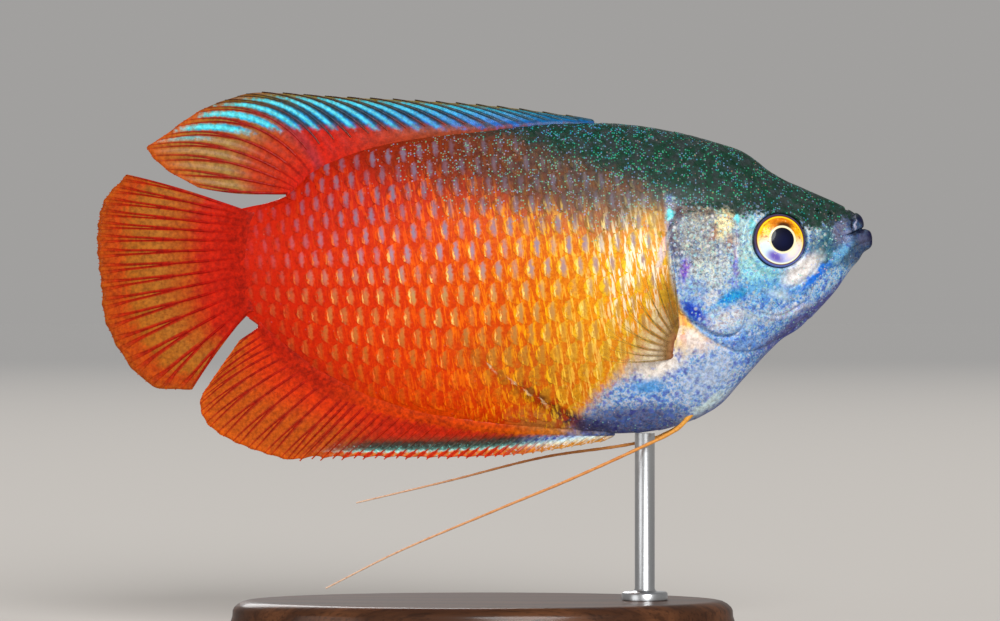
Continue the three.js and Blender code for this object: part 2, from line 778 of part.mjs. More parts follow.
addPiece(object, "stand_base", standBase(), "walnut");
addPiece(object, "stand_rod", standRod(), "steel");

export default object;
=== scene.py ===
# %% [markdown]
# # A male dwarf gourami, as a life-size museum model
# The fish is small, about 78 mm from snout to tail margin. Its solids are already made, so this lesson
# dresses them: one smooth skin, a coat of real overlapping scales, thin fins with rays, and glassy eyes.
# Everything is in metres, in the frame that the solids use: +X to the snout, +Y to the fish's left, +Z up.

# %% Load the solids
import math
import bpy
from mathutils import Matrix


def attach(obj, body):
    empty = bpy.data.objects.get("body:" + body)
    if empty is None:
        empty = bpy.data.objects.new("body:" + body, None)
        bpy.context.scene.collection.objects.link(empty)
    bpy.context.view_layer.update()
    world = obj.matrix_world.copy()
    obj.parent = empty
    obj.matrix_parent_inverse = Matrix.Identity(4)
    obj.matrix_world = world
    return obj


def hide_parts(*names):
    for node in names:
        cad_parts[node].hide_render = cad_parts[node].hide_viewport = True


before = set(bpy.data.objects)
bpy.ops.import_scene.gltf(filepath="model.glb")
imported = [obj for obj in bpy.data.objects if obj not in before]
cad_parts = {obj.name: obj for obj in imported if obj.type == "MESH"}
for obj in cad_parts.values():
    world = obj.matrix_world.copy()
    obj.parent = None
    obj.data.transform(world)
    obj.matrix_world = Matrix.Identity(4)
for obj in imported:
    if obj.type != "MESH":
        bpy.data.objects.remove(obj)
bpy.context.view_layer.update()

from types import SimpleNamespace

import bmesh
import bpy
import numpy as np
from mathutils import Vector

# %% [markdown]
# ## The fish's own measures
# Fish people measure in millimetres, so the tables here are in millimetres too, and MM turns them into
# metres. Places are given in the fish's own side view: x along it, and z up from a level that runs
# through its eye. The solids hold the fish so that this level is SWIM_HEIGHT above the table.

# %% Sizes
MM = 0.001
SWIM_HEIGHT = 40.0  # from the table to the level that heights on the fish are counted from
SIDES = {"right": -1, "left": 1}

# Sections of head and body: x, back, belly, half width, height of the widest place, and how keeled the
# back and the belly are (1 is round, more is sharper)
STATIONS = np.array([
    [-24.6, 3.2, -7.4, 0.75, -2.1, 1, 1],
    [-23.3, 3.5, -8, 1.2, -2.2, 1, 1],
    [-21.5, 3.9, -9.5, 1.6, -2.4, 1, 1.1],
    [-19.5, 4.75, -11.15, 2, -2.6, 1.1, 1.3],
    [-17.3, 6.9, -12.9, 2.4, -2.8, 1.2, 1.4],
    [-13.3, 8.9, -15.2, 3.05, -3, 1.3, 1.5],
    [-8, 10.25, -17.2, 3.8, -3.2, 1.35, 1.5],
    [0, 11.15, -18.8, 4.75, -3.4, 1.35, 1.4],
    [8, 11.85, -19.35, 5.4, -3.5, 1.3, 1.25],
    [15, 11.65, -19.45, 5.7, -3.5, 1.2, 1.15],
    [19.7, 10.85, -18.65, 5.65, -3.5, 1.1, 1.15],
    [23.7, 9.8, -16.7, 5.3, -3.4, 1, 1.15],
    [26.2, 8.9, -14, 4.95, -3.1, 0.95, 1.1],
    [29, 6.85, -11, 4.35, -2.5, 0.9, 1.1],
    [31.6, 5.4, -8.95, 3.55, -1.7, 0.9, 1.1],
    [33.6, 4.5, -6.95, 2.8, -0.9, 0.95, 1.1],
    [35.3, 3.75, -5.05, 2.25, -0.3, 1, 1.1],
    [36.7, 3, -3.05, 1.65, 0.1, 1, 1],
    [37.6, 2.2, -2, 1.2, 0.1, 1, 1],
    [38.05, 1.05, -1.25, 0.85, 0, 1, 1],
    [38.35, 0.6, -0.8, 0.5, -0.1, 1, 1],
    [38.5, 0.2, -0.35, 0.2, -0.1, 1, 1],
])
SNOUT = STATIONS[-1, 0]
TAIL_END = STATIONS[0, 0]
SNOUT_CROWDING = 1.35  # more than 1 sets the sections closer at the snout

print("body from", TAIL_END, "to", SNOUT, "mm, widest", 2 * STATIONS[:, 3].max(), "mm")

# %% [markdown]
# ## One smooth body from a few sections
# A fish's body could be sculpted, or lofted by a spline through rings. Here it is a formula: each measure
# of the section is a smooth curve along the body, and a point is found from where it lies along the body
# and how far round. A formula gives the skin, the unwrap for the scales and the feet of the fins alike.

# %% The body as a formula
def along(rows, column, place):
    """A smooth curve through one column of a table whose first column rises, read at many places."""
    starts = rows[:, 0]
    values = rows[:, column]
    before = np.maximum(np.arange(len(rows)) - 1, 0)
    after = np.minimum(np.arange(len(rows)) + 1, len(rows) - 1)
    slopes = (values[after] - values[before]) / (starts[after] - starts[before])
    place = np.clip(place, starts[0], starts[-1])
    row = np.clip(np.searchsorted(starts, place) - 1, 0, len(rows) - 2)
    span = starts[row + 1] - starts[row]
    t = (place - starts[row]) / span
    return (
        values[row] * (1 + 2 * t) * (1 - t) ** 2
        + values[row + 1] * t * t * (3 - 2 * t)
        + slopes[row] * span * t * (1 - t) ** 2
        - slopes[row + 1] * span * t * t * (1 - t)
    )


def body_point(x, turn):
    """A point of the body in millimetres. turn goes from the belly (0) up the right side to the back
    (0.5) and down the left side to the belly again (1)."""
    up = -np.cos(2 * np.pi * turn)
    out = -np.sin(2 * np.pi * turn)
    back, belly, half, widest, back_keel, belly_keel = [along(STATIONS, k, x) for k in range(1, 7)]
    keel = np.where(up > 0, back_keel, belly_keel)
    y = half * np.sign(out) * np.abs(out) ** keel
    z = widest + up * np.where(up > 0, back - widest, widest - belly)
    return np.stack([x + 0 * y, y, z], axis=-1)


def body_normal(x, turn, step=1e-3):
    """The direction straight out of the body."""
    forward = body_point(x + step, turn) - body_point(x - step, turn)
    round_it = body_point(x, turn + step) - body_point(x, turn - step)
    normal = np.cross(forward, round_it)
    length = np.linalg.norm(normal, axis=-1, keepdims=True)
    return normal / np.maximum(length, 1e-12)


def flank(x, z):
    """Half the body's width at a place in side view."""
    back, belly, half, widest, back_keel, belly_keel = [along(STATIONS, k, x) for k in range(1, 7)]
    above = np.where(z > widest, back - widest, widest - belly)
    share = np.clip(np.abs(z - widest) / above, 0, 1)
    return half * np.sqrt(1 - share**2) ** np.where(z > widest, back_keel, belly_keel)


def flank_normal(x, z, side, step=0.1):
    """The direction straight out of the flank at a place in side view."""
    slope_x = (flank(x + step, z) - flank(x - step, z)) / (2 * step)
    slope_z = (flank(x, z + step) - flank(x, z - step)) / (2 * step)
    return Vector((-slope_x, side, -slope_z)).normalized()


def smooth_step(value, low, high):
    """0 below low, 1 above high, and a soft slope between them."""
    t = np.clip((value - low) / (high - low), 0, 1)
    return t * t * (3 - 2 * t)


def to_metres(points):
    """Points of the fish in millimetres, as metres above the table."""
    return (np.asarray(points) + [0, 0, SWIM_HEIGHT]) * MM


print("half width behind the gills:", round(float(flank(15.0, -3.5)), 2), "mm")

# %% [markdown]
# ## The relief of the head
# On the real head thin bones lie under the skin: the gill cover with a free hind edge, the ridge in front
# of it, and a soft rim round each eye. The mouth is a slit between two rolled lips, and each side has two
# nostrils. A sculptor would push these in and out with brushes. A formula can do the same: relief() says
# how far the skin stands out of the smooth body at any place, as a sum of bumps, grooves and steps.

# %% Where the forms of the head lie
EYE = {"x": 29.48, "z": -0.1, "radius": 2.6, "bulge": 0.5, "depth": 1.9}
ORBIT = {"middle": 3.05, "half_width": 0.42, "height": 0.2}  # the soft rim round the eye
SOCKET = {"wall_from": 2.56, "wall_to": 2.78, "depth": 1.5}
NOSTRILS = [(34.6, 2.55, 0.3), (33.3, 2.95, 0.22)]  # x, z, radius
NOSTRIL_WALL = (0.4, 0.95)  # as shares of its radius
NOSTRIL_DEPTH = 0.4
NOSTRIL_RIM_AT = 1.25
NOSTRIL_RIM = (0.12, -0.09)  # its half width, and its depth, below zero because it stands up
GAPE = {"x": 36.35, "z": 0.46, "slope": 0.4228, "starts": 0.35, "full": 0.25}
LIPS = {"upper": (0.95, 0.92, 0.3), "lower": (-0.72, 0.7, 0.28)}  # middle, half width, height
LIPS_RISE = (35.9, 37.2)  # along the snout, from flat to their full height
LIP_FOLD = {"x": 36.6, "z": 1.5, "lean": 0.12, "rise": (0.7, 1.3)}  # the fold behind the upper lip
GILL_COVER = [
    (25.3, 1.7), (25.4, -2), (25.6, -5.4), (26, -7.7), (25.2, -9.2), (23.4, -9.4),
    (21.3, -8.3), (19, -6.4), (18.3, -2), (18.4, 1.2), (20.7, 2.9), (23.6, 3.1),
]
CHEEK_RIDGE = [(24.6, 3.4), (25, 0.4), (25.1, -3), (25.6, -5.6), (27.2, -7.2), (29.8, -7.6), (32, -6.2)]
THROAT_FOLD = [(18.7, -5.8), (20.6, -8.7), (23.3, -10.5), (26.4, -11.4), (29.6, -10.2), (32.4, -7.9)]
JAW_FOLD = [(34.9, 2.3), (34.6, 0.4), (34, -1.4), (32.6, -3.6), (30.6, -4.9)]
BELLY_FOLD = [(-2.5, -9), (-0.8, -12), (3.2, -15.2), (7.4, -17.4), (12, -19.2)]


def smooth_path(points, closed=False, steps=12):
    """A curve through points in side view (Catmull-Rom), as many short pieces."""
    ends = np.array(points, float)
    count = len(ends)
    pieces = []
    for k in range(count if closed else count - 1):
        picks = [k - 1, k, k + 1, k + 2]
        a, b, c, d = [ends[i % count] if closed else ends[min(max(i, 0), count - 1)] for i in picks]
        for t in np.arange(steps) / steps:
            pieces.append(0.5 * (
                2 * b + (c - a) * t + (2 * a - 5 * b + 4 * c - d) * t**2 + (3 * b - a - 3 * c + d) * t**3
            ))
    pieces.append(ends[0] if closed else ends[-1])
    return np.array(pieces)


def distance_to(path, x, z):
    """How far each place in side view is from a path."""
    nearest = np.full(np.shape(x), np.inf)
    for (ax, az), (bx, bz) in zip(path[:-1], path[1:]):
        length = max((bx - ax) ** 2 + (bz - az) ** 2, 1e-9)
        t = np.clip(((x - ax) * (bx - ax) + (z - az) * (bz - az)) / length, 0, 1)
        nearest = np.minimum(nearest, np.hypot(x - ax - t * (bx - ax), z - az - t * (bz - az)))
    return nearest


def inside(path, x, z):
    """Which places in side view lie inside a closed path."""
    crossed = np.zeros(np.shape(x), bool)
    for (ax, az), (bx, bz) in zip(path[:-1], path[1:]):
        if az == bz:
            continue
        across = (az > z) != (bz > z)
        crossed ^= across & (x < ax + (z - az) * (bx - ax) / (bz - az))
    return crossed


COVER_PATH = smooth_path(GILL_COVER, closed=True)
RIDGE_PATH = smooth_path(CHEEK_RIDGE)
THROAT_PATH = smooth_path(THROAT_FOLD)
JAW_PATH = smooth_path(JAW_FOLD)
BELLY_PATH = smooth_path(BELLY_FOLD)
print("gill cover outline:", len(COVER_PATH), "points")

# %% How far the skin stands out
COAT_DEPTH = 0.16  # the skin lies this far inside the solids where scales cover it
COAT_ENDS = (30.0, 32.0)  # the scales thin out between these places on the head
COVER_RAISED = 0.24
COVER_HIND = {"x": (-22.5, -20.5), "z": (6.5, 8.5)}  # where its edge turns from soft to sharp
SHARP_EDGE = (-0.12, 0.1)
SOFT_EDGE = (-0.62, 1.0)
BELLY_DROP = 0.22  # how much the flesh behind the belly fold lies deeper
DROP_FADES = {"rise": (-0.4, 0.8), "front": (9.0, 13.0), "rear": (-6.0, -1.0)}
LIP_PUSH = 0.42  # how far the lower lip stands out in front of the smooth body
LIP_LENGTH = 0.55
TIP_LENGTH = 0.3
TIP_ROUND = 0.05
STALK_TAPER = 0.62  # how much the stalk thins to its end, where the tail fin takes over
TAPER_RUN = (19.5, 25.2)  # how far behind x = 0 the thinning starts, and where it would be full

# Grooves: how far beside their line they run, half width and depth. A ridge has a depth below zero.
MOUTH_SLIT = (0, 0.07, 0.42)
LIP_GROOVE = (0, 0.16, 0.2)
EYE_MOAT = (3.75, 0.3, 0.08)
GILL_CLEFT = (-0.28, 0.16, 0.34)
CHEEK_ROLL = (0.28, 0.24, -0.09)
CHEEK_FURROW = (0, 0.12, 0.1)
THROAT_GROOVE = (0, 0.22, 0.22)
JAW_GROOVE = (0, 0.15, 0.12)
BELLY_GROOVE = (0, 0.5, 0.16)


def groove(distance, beside, half_width, depth):
    """A soft furrow along a line."""
    return -depth * np.exp(-(((distance - beside) / half_width) ** 2))


def mouth_relief(x, z):
    """Two rolled lips with a slit between them, at the tip of the snout."""
    rise = z - GAPE["z"] - GAPE["slope"] * (x - GAPE["x"])
    near = smooth_step(x, GAPE["x"] - GAPE["starts"], GAPE["x"] + GAPE["full"])
    relief = groove(rise, *MOUTH_SLIT) * near
    for middle, half_width, height in LIPS.values():
        reach = np.clip(1 - ((rise - middle) / half_width) ** 2, 0, 1)
        relief = relief + height * np.sqrt(reach) * smooth_step(x, *LIPS_RISE)
    from_fold = np.abs(x - LIP_FOLD["x"] + LIP_FOLD["lean"] * (z - LIP_FOLD["z"]))
    return relief + groove(from_fold, *LIP_GROOVE) * smooth_step(z, *LIP_FOLD["rise"])


def eye_relief(x, z):
    """The soft rim and the socket round the eye."""
    away = np.hypot(x - EYE["x"], z - EYE["z"])
    rim = np.clip(1 - ((away - ORBIT["middle"]) / ORBIT["half_width"]) ** 2, 0, 1)
    hollow = 1 - smooth_step(away, SOCKET["wall_from"], SOCKET["wall_to"])
    return ORBIT["height"] * rim + groove(away, *EYE_MOAT), hollow


def cover_relief(x, z):
    """The gill cover: raised, with a sharp hind edge and a cleft behind it, and a soft front edge."""
    from_edge = distance_to(COVER_PATH, x, z)
    signed = np.where(inside(COVER_PATH, x, z), from_edge, -from_edge)
    hind = smooth_step(-x, *COVER_HIND["x"]) + smooth_step(-z, *COVER_HIND["z"])
    sharp = np.clip(hind, 0, 1)
    low, high = [soft + (hard - soft) * sharp for soft, hard in zip(SOFT_EDGE, SHARP_EDGE)]
    return COVER_RAISED * smooth_step(signed, low, high) + groove(signed, *GILL_CLEFT) * sharp


def head_relief(x, z):
    """Gill cover, cheek ridge, folds and nostrils."""
    from_ridge = distance_to(RIDGE_PATH, x, z)
    relief = cover_relief(x, z) + groove(from_ridge, *CHEEK_ROLL) + groove(from_ridge, *CHEEK_FURROW)
    relief = relief + groove(distance_to(THROAT_PATH, x, z), *THROAT_GROOVE)
    relief = relief + groove(distance_to(JAW_PATH, x, z), *JAW_GROOVE)
    for nostril_x, nostril_z, radius in NOSTRILS:
        away = np.hypot(x - nostril_x, z - nostril_z)
        wall_from, wall_to = [radius * share for share in NOSTRIL_WALL]
        relief = relief - NOSTRIL_DEPTH * (1 - smooth_step(away, wall_from, wall_to))
        relief = relief + groove(away, radius * NOSTRIL_RIM_AT, *NOSTRIL_RIM)
    return relief


def body_relief(x, z):
    """The coat's depth, and the full belly that ends in a slanting fold."""
    scaled = 1 - smooth_step(x, *COAT_ENDS)
    line = np.interp(x, BELLY_PATH[:, 0], BELLY_PATH[:, 1])
    below = smooth_step(line - z, *DROP_FADES["rise"])
    behind = below * (1 - smooth_step(x, *DROP_FADES["front"])) * smooth_step(x, *DROP_FADES["rear"])
    fold = groove(distance_to(BELLY_PATH, x, z), *BELLY_GROOVE)
    return -COAT_DEPTH * scaled + fold - BELLY_DROP * behind


def skin_point(x, turn):
    """A point of the finished skin, in millimetres."""
    smooth = body_point(x, turn)
    smooth[..., 1] *= 1 - STALK_TAPER * smooth_step(-smooth[..., 0], *TAPER_RUN)
    z = smooth[..., 2]
    rim, hollow = eye_relief(x, z)
    relief = body_relief(x, z) + head_relief(x, z) + mouth_relief(x, z) + rim
    relief = relief * (1 - hollow) - SOCKET["depth"] * hollow
    tip = smooth_step(x, SNOUT - TIP_LENGTH, SNOUT)
    smooth[..., 0] += LIP_PUSH * smooth_step(x, SNOUT - LIP_LENGTH, SNOUT)
    return smooth + body_normal(x, turn) * (relief * (1 - tip) + TIP_ROUND * tip)[..., None]


print("gill cover stands out by", COVER_RAISED, "mm")

# %% [markdown]
# ## The skin as one mesh
# The skin is a tube of rings that closes to a point at the snout and at the tail root. It is first laid
# out flat, as a grid of "where along" and "how far round". While it is flat, the parts that need a fine
# mesh, such as the rims of the eyes, are divided further. Only then is each point set in space.

# %% Lay out the skin and set it in space
SKIN_RINGS = 270
SKIN_SIDES = 176
EYE_RIM_BAND = (2.3, 3.0)  # the socket's wall, which gets the finest mesh
NEAR_EYE = 3.6
NEAR_LINE = 0.6
MOUTH = {"behind": 35.4, "front": 38.45, "low": -1.5}  # the part of the snout with a finer mesh


def ring_place(share):
    """Where along the body a share of the rings has passed, from the snout to the tail end."""
    return SNOUT + (TAIL_END - SNOUT) * np.asarray(share) ** SNOUT_CROWDING


def ring_share(x):
    """The opposite of ring_place."""
    return np.clip((SNOUT - np.asarray(x)) / (SNOUT - TAIL_END), 0, 1) ** (1 / SNOUT_CROWDING)


def needs_finer(shares, turns, level):
    """Which flat faces lie where the head has small forms."""
    x, _, z = np.moveaxis(body_point(ring_place(shares), turns), -1, 0)
    from_eye = np.hypot(x - EYE["x"], z - EYE["z"])
    nostril = np.min([np.hypot(x - a, z - b) for a, b, _ in NOSTRILS], axis=0) < NEAR_LINE
    if level == 1:
        return ((from_eye > EYE_RIM_BAND[0]) & (from_eye < EYE_RIM_BAND[1])) | nostril
    lines = (COVER_PATH, RIDGE_PATH, THROAT_PATH, JAW_PATH)
    folds = [distance_to(path, x, z) < NEAR_LINE for path in lines]
    mouth = (x > MOUTH["behind"]) & (x < MOUTH["front"]) & (z > MOUTH["low"])
    return np.any([*folds, from_eye < NEAR_EYE, nostril, mouth], axis=0)


def flat_layout():
    """The grid of the skin in the plane of ring share and turn, finer on the head."""
    layout = bmesh.new()
    columns = [
        [layout.verts.new((ring / SKIN_RINGS, side / SKIN_SIDES, 0)) for side in range(SKIN_SIDES + 1)]
        for ring in range(1, SKIN_RINGS + 1)
    ]
    for here, there in zip(columns[:-1], columns[1:]):
        for k in range(SKIN_SIDES):
            layout.faces.new((here[k], here[k + 1], there[k + 1], there[k]))
    for level in range(2):
        faces = list(layout.faces)
        middles = np.array([face.calc_center_median() for face in faces])
        chosen = needs_finer(middles[:, 0], middles[:, 1], level)
        edges = {edge for face, wanted in zip(faces, chosen) if wanted for edge in face.edges}
        bmesh.ops.subdivide_edges(layout, edges=list(edges), cuts=1, use_grid_fill=True)
    return layout


def link(mesh_or_object):
    """Puts a mesh or an object into the scene."""
    made = mesh_or_object
    if isinstance(made, bpy.types.Mesh):
        made = bpy.data.objects.new(made.name, made)
    bpy.context.scene.collection.objects.link(made)
    return made


def into_scene(shape, name):
    """Turns a bmesh into an object of the scene, shaded smooth."""
    mesh = bpy.data.meshes.new(name)
    shape.to_mesh(mesh)
    shape.free()
    mesh.polygons.foreach_set("use_smooth", np.ones(len(mesh.polygons), bool))
    return link(mesh)


def make_skin():
    """The whole skin of head, trunk and tail root as one closed mesh."""
    layout = flat_layout()
    flat = np.array([vert.co[:2] for vert in layout.verts])
    unwrap = layout.loops.layers.uv.new("OFBake")
    for face in layout.faces:
        for loop in face.loops:
            loop[unwrap].uv = (loop.vert.co.x, loop.vert.co.y)
    places = to_metres(skin_point(ring_place(flat[:, 0]), flat[:, 1]))
    for vert, place in zip(layout.verts, places):
        vert.co = place
    bmesh.ops.remove_doubles(layout, verts=layout.verts, dist=1e-7)
    open_edges = [edge for edge in layout.edges if edge.is_boundary]
    bmesh.ops.holes_fill(layout, edges=open_edges, sides=0)
    bmesh.ops.recalc_face_normals(layout, faces=layout.faces)
    bmesh.ops.triangulate(layout, faces=[face for face in layout.faces if len(face.verts) > 4])
    return into_scene(layout, "gourami_skin")


skin = make_skin()
print("skin:", len(skin.data.polygons), "faces")

# %% [markdown]
# ## A pen for shader and geometry nodes
# A node tree can be built by hand in the editor. In a script each node takes three lines, so a small pen
# keeps the trees readable: it adds a node, and each input may be a plain value or another node's output.

# %% The pen
def colour(code):
    """A colour written as in a paint program, as Blender's linear red, green, blue and alpha."""
    parts = np.array([int(code[k:k + 2], 16) / 255 for k in (0, 2, 4)])
    linear = np.where(parts < 0.04045, parts / 12.92, ((parts + 0.055) / 1.055) ** 2.4)
    return (*linear.tolist(), 1.0)


class Pen:
    """Adds nodes to one tree. A value may be a number, a vector, a colour or another node's output."""

    def __init__(self, tree):
        self.tree = tree

    def feed(self, socket, value):
        if isinstance(value, bpy.types.NodeSocket):
            self.tree.links.new(value, socket)
        else:
            socket.default_value = value

    def add(self, kind, values=None, **settings):
        node = self.tree.nodes.new(kind)
        for name, value in settings.items():
            setattr(node, name, value)
        for key, value in (values or {}).items():
            self.feed(node.inputs[key], value)
        return node

    def math(self, operation, *values):
        return self.add("ShaderNodeMath", dict(enumerate(values)), operation=operation).outputs[0]

    def times(self, *values):
        """All the values multiplied with each other."""
        product = values[0]
        for value in values[1:]:
            product = self.math("MULTIPLY", product, value)
        return product

    def plus(self, one, other):
        return self.math("ADD", one, other)

    def minus(self, whole, part):
        return self.math("SUBTRACT", whole, part)

    def sloped(self, value, slope, start):
        """start, plus slope times the value."""
        return self.math("MULTIPLY_ADD", value, slope, start)

    def largest(self, *values):
        most = values[0]
        for value in values[1:]:
            most = self.math("MAXIMUM", most, value)
        return most

    def vector(self, operation, *values):
        node = self.add("ShaderNodeVectorMath", dict(enumerate(values)), operation=operation)
        return node.outputs["Value" if operation == "LENGTH" else "Vector"]

    def longer(self, vector, factor):
        """A vector made longer, or shorter, by a factor."""
        node = self.add("ShaderNodeVectorMath", {0: vector, "Scale": factor}, operation="SCALE")
        return node.outputs["Vector"]

    def parts(self, vector):
        """The X, Y and Z of a vector."""
        return self.add("ShaderNodeSeparateXYZ", {0: vector}).outputs

    def map_place(self, name):
        """The place of a point on one of the mesh's own UV maps."""
        return self.add("ShaderNodeUVMap", uv_map=name).outputs["UV"]

    def attribute(self, name):
        """A number that the mesh's points carry."""
        return self.add("ShaderNodeAttribute", attribute_name=name).outputs["Fac"]

    def bump(self, shader, height, strength, depth):
        """Gives a shader a fine relief. Its depth is in millimetres."""
        values = {"Strength": strength, "Distance": depth * MM, "Height": height}
        self.feed(shader.inputs["Normal"], self.add("ShaderNodeBump", values).outputs["Normal"])

    def ease(self, value, low, high):
        """A soft step: 0 at low and 1 at high, either way round."""
        values = {"Value": value, "From Min": low, "From Max": high}
        return self.add("ShaderNodeMapRange", values, interpolation_type="SMOOTHSTEP").outputs["Result"]

    def blend(self, mask, under, over, mode="MIX"):
        """One colour over another."""
        node = self.add("ShaderNodeMix", {0: mask, 6: under, 7: over}, data_type="RGBA", blend_type=mode)
        return node.outputs[2]

    def over(self, under, *layers):
        """Colours painted over one another, each where its own mask says."""
        for mask, code in layers:
            under = self.blend(mask, under, colour(code))
        return under

    def ramp(self, value, stops):
        """A colour for each value from 0 to 1."""
        node = self.add("ShaderNodeValToRGB", {"Fac": value})
        node.color_ramp.elements[0].position = stops[0][0]
        node.color_ramp.elements[0].color = colour(stops[0][1])
        node.color_ramp.elements[1].position = stops[-1][0]
        node.color_ramp.elements[1].color = colour(stops[-1][1])
        for position, code in stops[1:-1]:
            node.color_ramp.elements.new(position).color = colour(code)
        return node.outputs["Color"]

    def profile(self, value, points):
        """A line through a few points, such as the edge of a marking: value across, height up."""
        across, up = zip(*points)
        low, high = min(up), max(up)
        length = across[-1] - across[0]
        share = self.math("DIVIDE", self.minus(value, across[0]), length)
        node = self.add("ShaderNodeFloatCurve", {"Value": share})
        curve = node.mapping.curves[0]
        spots = [((x - across[0]) / length, (height - low) / (high - low)) for x, height in points]
        curve.points[0].location = spots[0]
        curve.points[-1].location = spots[-1]
        for spot in spots[1:-1]:
            curve.points.new(*spot)
        node.mapping.update()
        return self.sloped(node.outputs["Value"], high - low, low)

    def noise(self, place, scale, detail=2.0, roughness=0.5):
        values = {"Vector": place, "Scale": scale, "Detail": detail, "Roughness": roughness}
        return self.add("ShaderNodeTexNoise", values).outputs["Fac"]

    def waver(self, place, scale, detail=3.0, roughness=0.5):
        """Noise that swings about zero."""
        return self.minus(self.noise(place, scale, detail, roughness), 0.5)

    def waver_pair(self, place, scale):
        """Two unlike wavering noises, for pushing a place about."""
        noise = self.add("ShaderNodeTexNoise", {"Vector": place, "Scale": scale, "Detail": 3.0})
        parts = self.add("ShaderNodeSeparateColor", {0: noise.outputs["Color"]}).outputs
        return self.minus(parts["Red"], 0.5), self.minus(parts["Green"], 0.5)

    def patch(self, spot, x, z, half_length, half_height, lean, softness):
        """An oval in side view, leaning by some degrees, with a soft edge. spot is the pair across, up."""
        turn = math.radians(lean)
        long_way = (math.cos(turn) / half_length, math.sin(turn) / half_length)
        short_way = (-math.sin(turn) / half_height, math.cos(turn) / half_height)
        parts = []
        for across, up in (long_way, short_way):
            raised = self.sloped(spot[1], up, -x * across - z * up)
            parts.append(self.sloped(spot[0], across, raised))
        square = self.sloped(parts[0], parts[0], self.times(parts[1], parts[1]))
        return self.ease(self.math("SQRT", square), 1 + softness, 1 - softness)


def new_group(name, inputs, outputs):
    """A shader node group with named inputs and outputs."""
    group = bpy.data.node_groups.new(name, "ShaderNodeTree")
    for label, kind, value in inputs:
        socket = group.interface.new_socket(label, in_out="INPUT", socket_type="NodeSocket" + kind)
        socket.default_value = value
    for label, kind in outputs:
        group.interface.new_socket(label, in_out="OUTPUT", socket_type="NodeSocket" + kind)
    source = group.nodes.new("NodeGroupInput").outputs
    sink = group.nodes.new("NodeGroupOutput").inputs
    return group, Pen(group), source, sink


def new_material(name):
    """A material with its Principled shader, and a pen for its tree."""
    material = bpy.data.materials.new(name)
    material.use_nodes = True
    return material, Pen(material.node_tree), material.node_tree.nodes["Principled BSDF"]


def use_group(pen, group, **values):
    """Places a group in a tree, and gives its outputs."""
    return pen.add("ShaderNodeGroup", values, node_tree=group).outputs


def side_view(pen):
    """Where a point of the surface lies in the fish's own side view, in millimetres: x, y, z and all."""
    place = pen.longer(pen.add("ShaderNodeTexCoord").outputs["Object"], 1 / MM)
    fish = pen.vector("SUBTRACT", place, (0, 0, SWIM_HEIGHT))
    parts = pen.parts(fish)
    return parts["X"], parts["Y"], parts["Z"], fish


print("red of a ripe scale in linear light:", [round(part, 3) for part in colour("d2380a")[:3]])

# %% [markdown]
# ## Glitter
# The back and the gill cover sparkle with crystals a tenth of a millimetre across. They could be
# particles, but the pattern lies in the skin, so it is a cell texture: some cells are lit, each in its
# own tint. It is a group because skin, scales and fins all use it.

# %% Glitter group
glitter, pen, source, sink = new_group(
    "glitter",
    [("Place", "Vector", (0, 0, 0)), ("Size", "Float", 0.2), ("Amount", "Float", 0.3)],
    [("Mask", "Float"), ("Pick", "Float")],
)
cells = pen.add("ShaderNodeTexVoronoi", {
    "Vector": source["Place"],
    "Scale": pen.math("DIVIDE", 1.0, source["Size"]),
    "Randomness": 1.0,
})
draws = pen.add("ShaderNodeSeparateColor", {0: cells.outputs["Color"]}).outputs
lit = pen.ease(pen.minus(source["Amount"], draws["Red"]), -0.02, 0.06)
dot = pen.ease(cells.outputs["Distance"], 0.62, 0.18)
pen.feed(sink["Mask"], pen.times(lit, dot))
pen.feed(sink["Pick"], draws["Green"])
print("glitter group:", len(glitter.nodes), "nodes")

# %% [markdown]
# ## The markings
# The colours of this fish run softly into each other: a dark sparkling back, fire red behind, gold in
# front, a lavender breast and a silver-blue head. They could be painted on an unwrap. Here they are a
# node group that knows each place in side view, so that skin and scales carry the very same markings.
# Edges are lines through a few points. Small markings are soft ovals, painted one over the other.

# %% Edges and patches
# How high the edge of each marking runs at places along the fish
DUSK_EDGE = [
    (-25, 5.6), (-14, 6.6), (-7.5, 5.2), (-2, 4.3), (3, 3.0), (8, 1.6), (14, 0.7), (18, 0.9), (24, 3.0),
    (39, 3.2),
]
BACK_EDGE = [
    (-25, 13), (-8, 12.6), (0, 11.2), (7, 8.6), (14, 6.2), (18, 4.2), (21, 2.9), (25, 2.6), (28, 2.5),
    (32.2, 0.9), (34, 1.4), (36, 2.2), (39, 3.0),
]
BREAST_EDGE = [
    (-25, -23), (4, -21.8), (7.5, -20.2), (9.2, -18.4), (11, -16.2), (13, -14.3), (16, -12.2),
    (19, -10.8), (39, -9),
]
# This one is read the other way: how far forward the head's edge runs at each height
HEAD_EDGE = [
    (-21, 34), (-13.1, 29.3), (-12, 26.6), (-10.5, 23.7), (-8.8, 21.1), (-6, 19.2), (-2.2, 18.4),
    (13, 18.6),
]
WARM_STOPS = [
    (0.0, "c01604"), (0.2, "cc2604"), (0.4, "dc3a04"), (0.55, "e65504"),
    (0.7, "ec7002"), (0.84, "f4a006"), (1.0, "ffca20"),
]

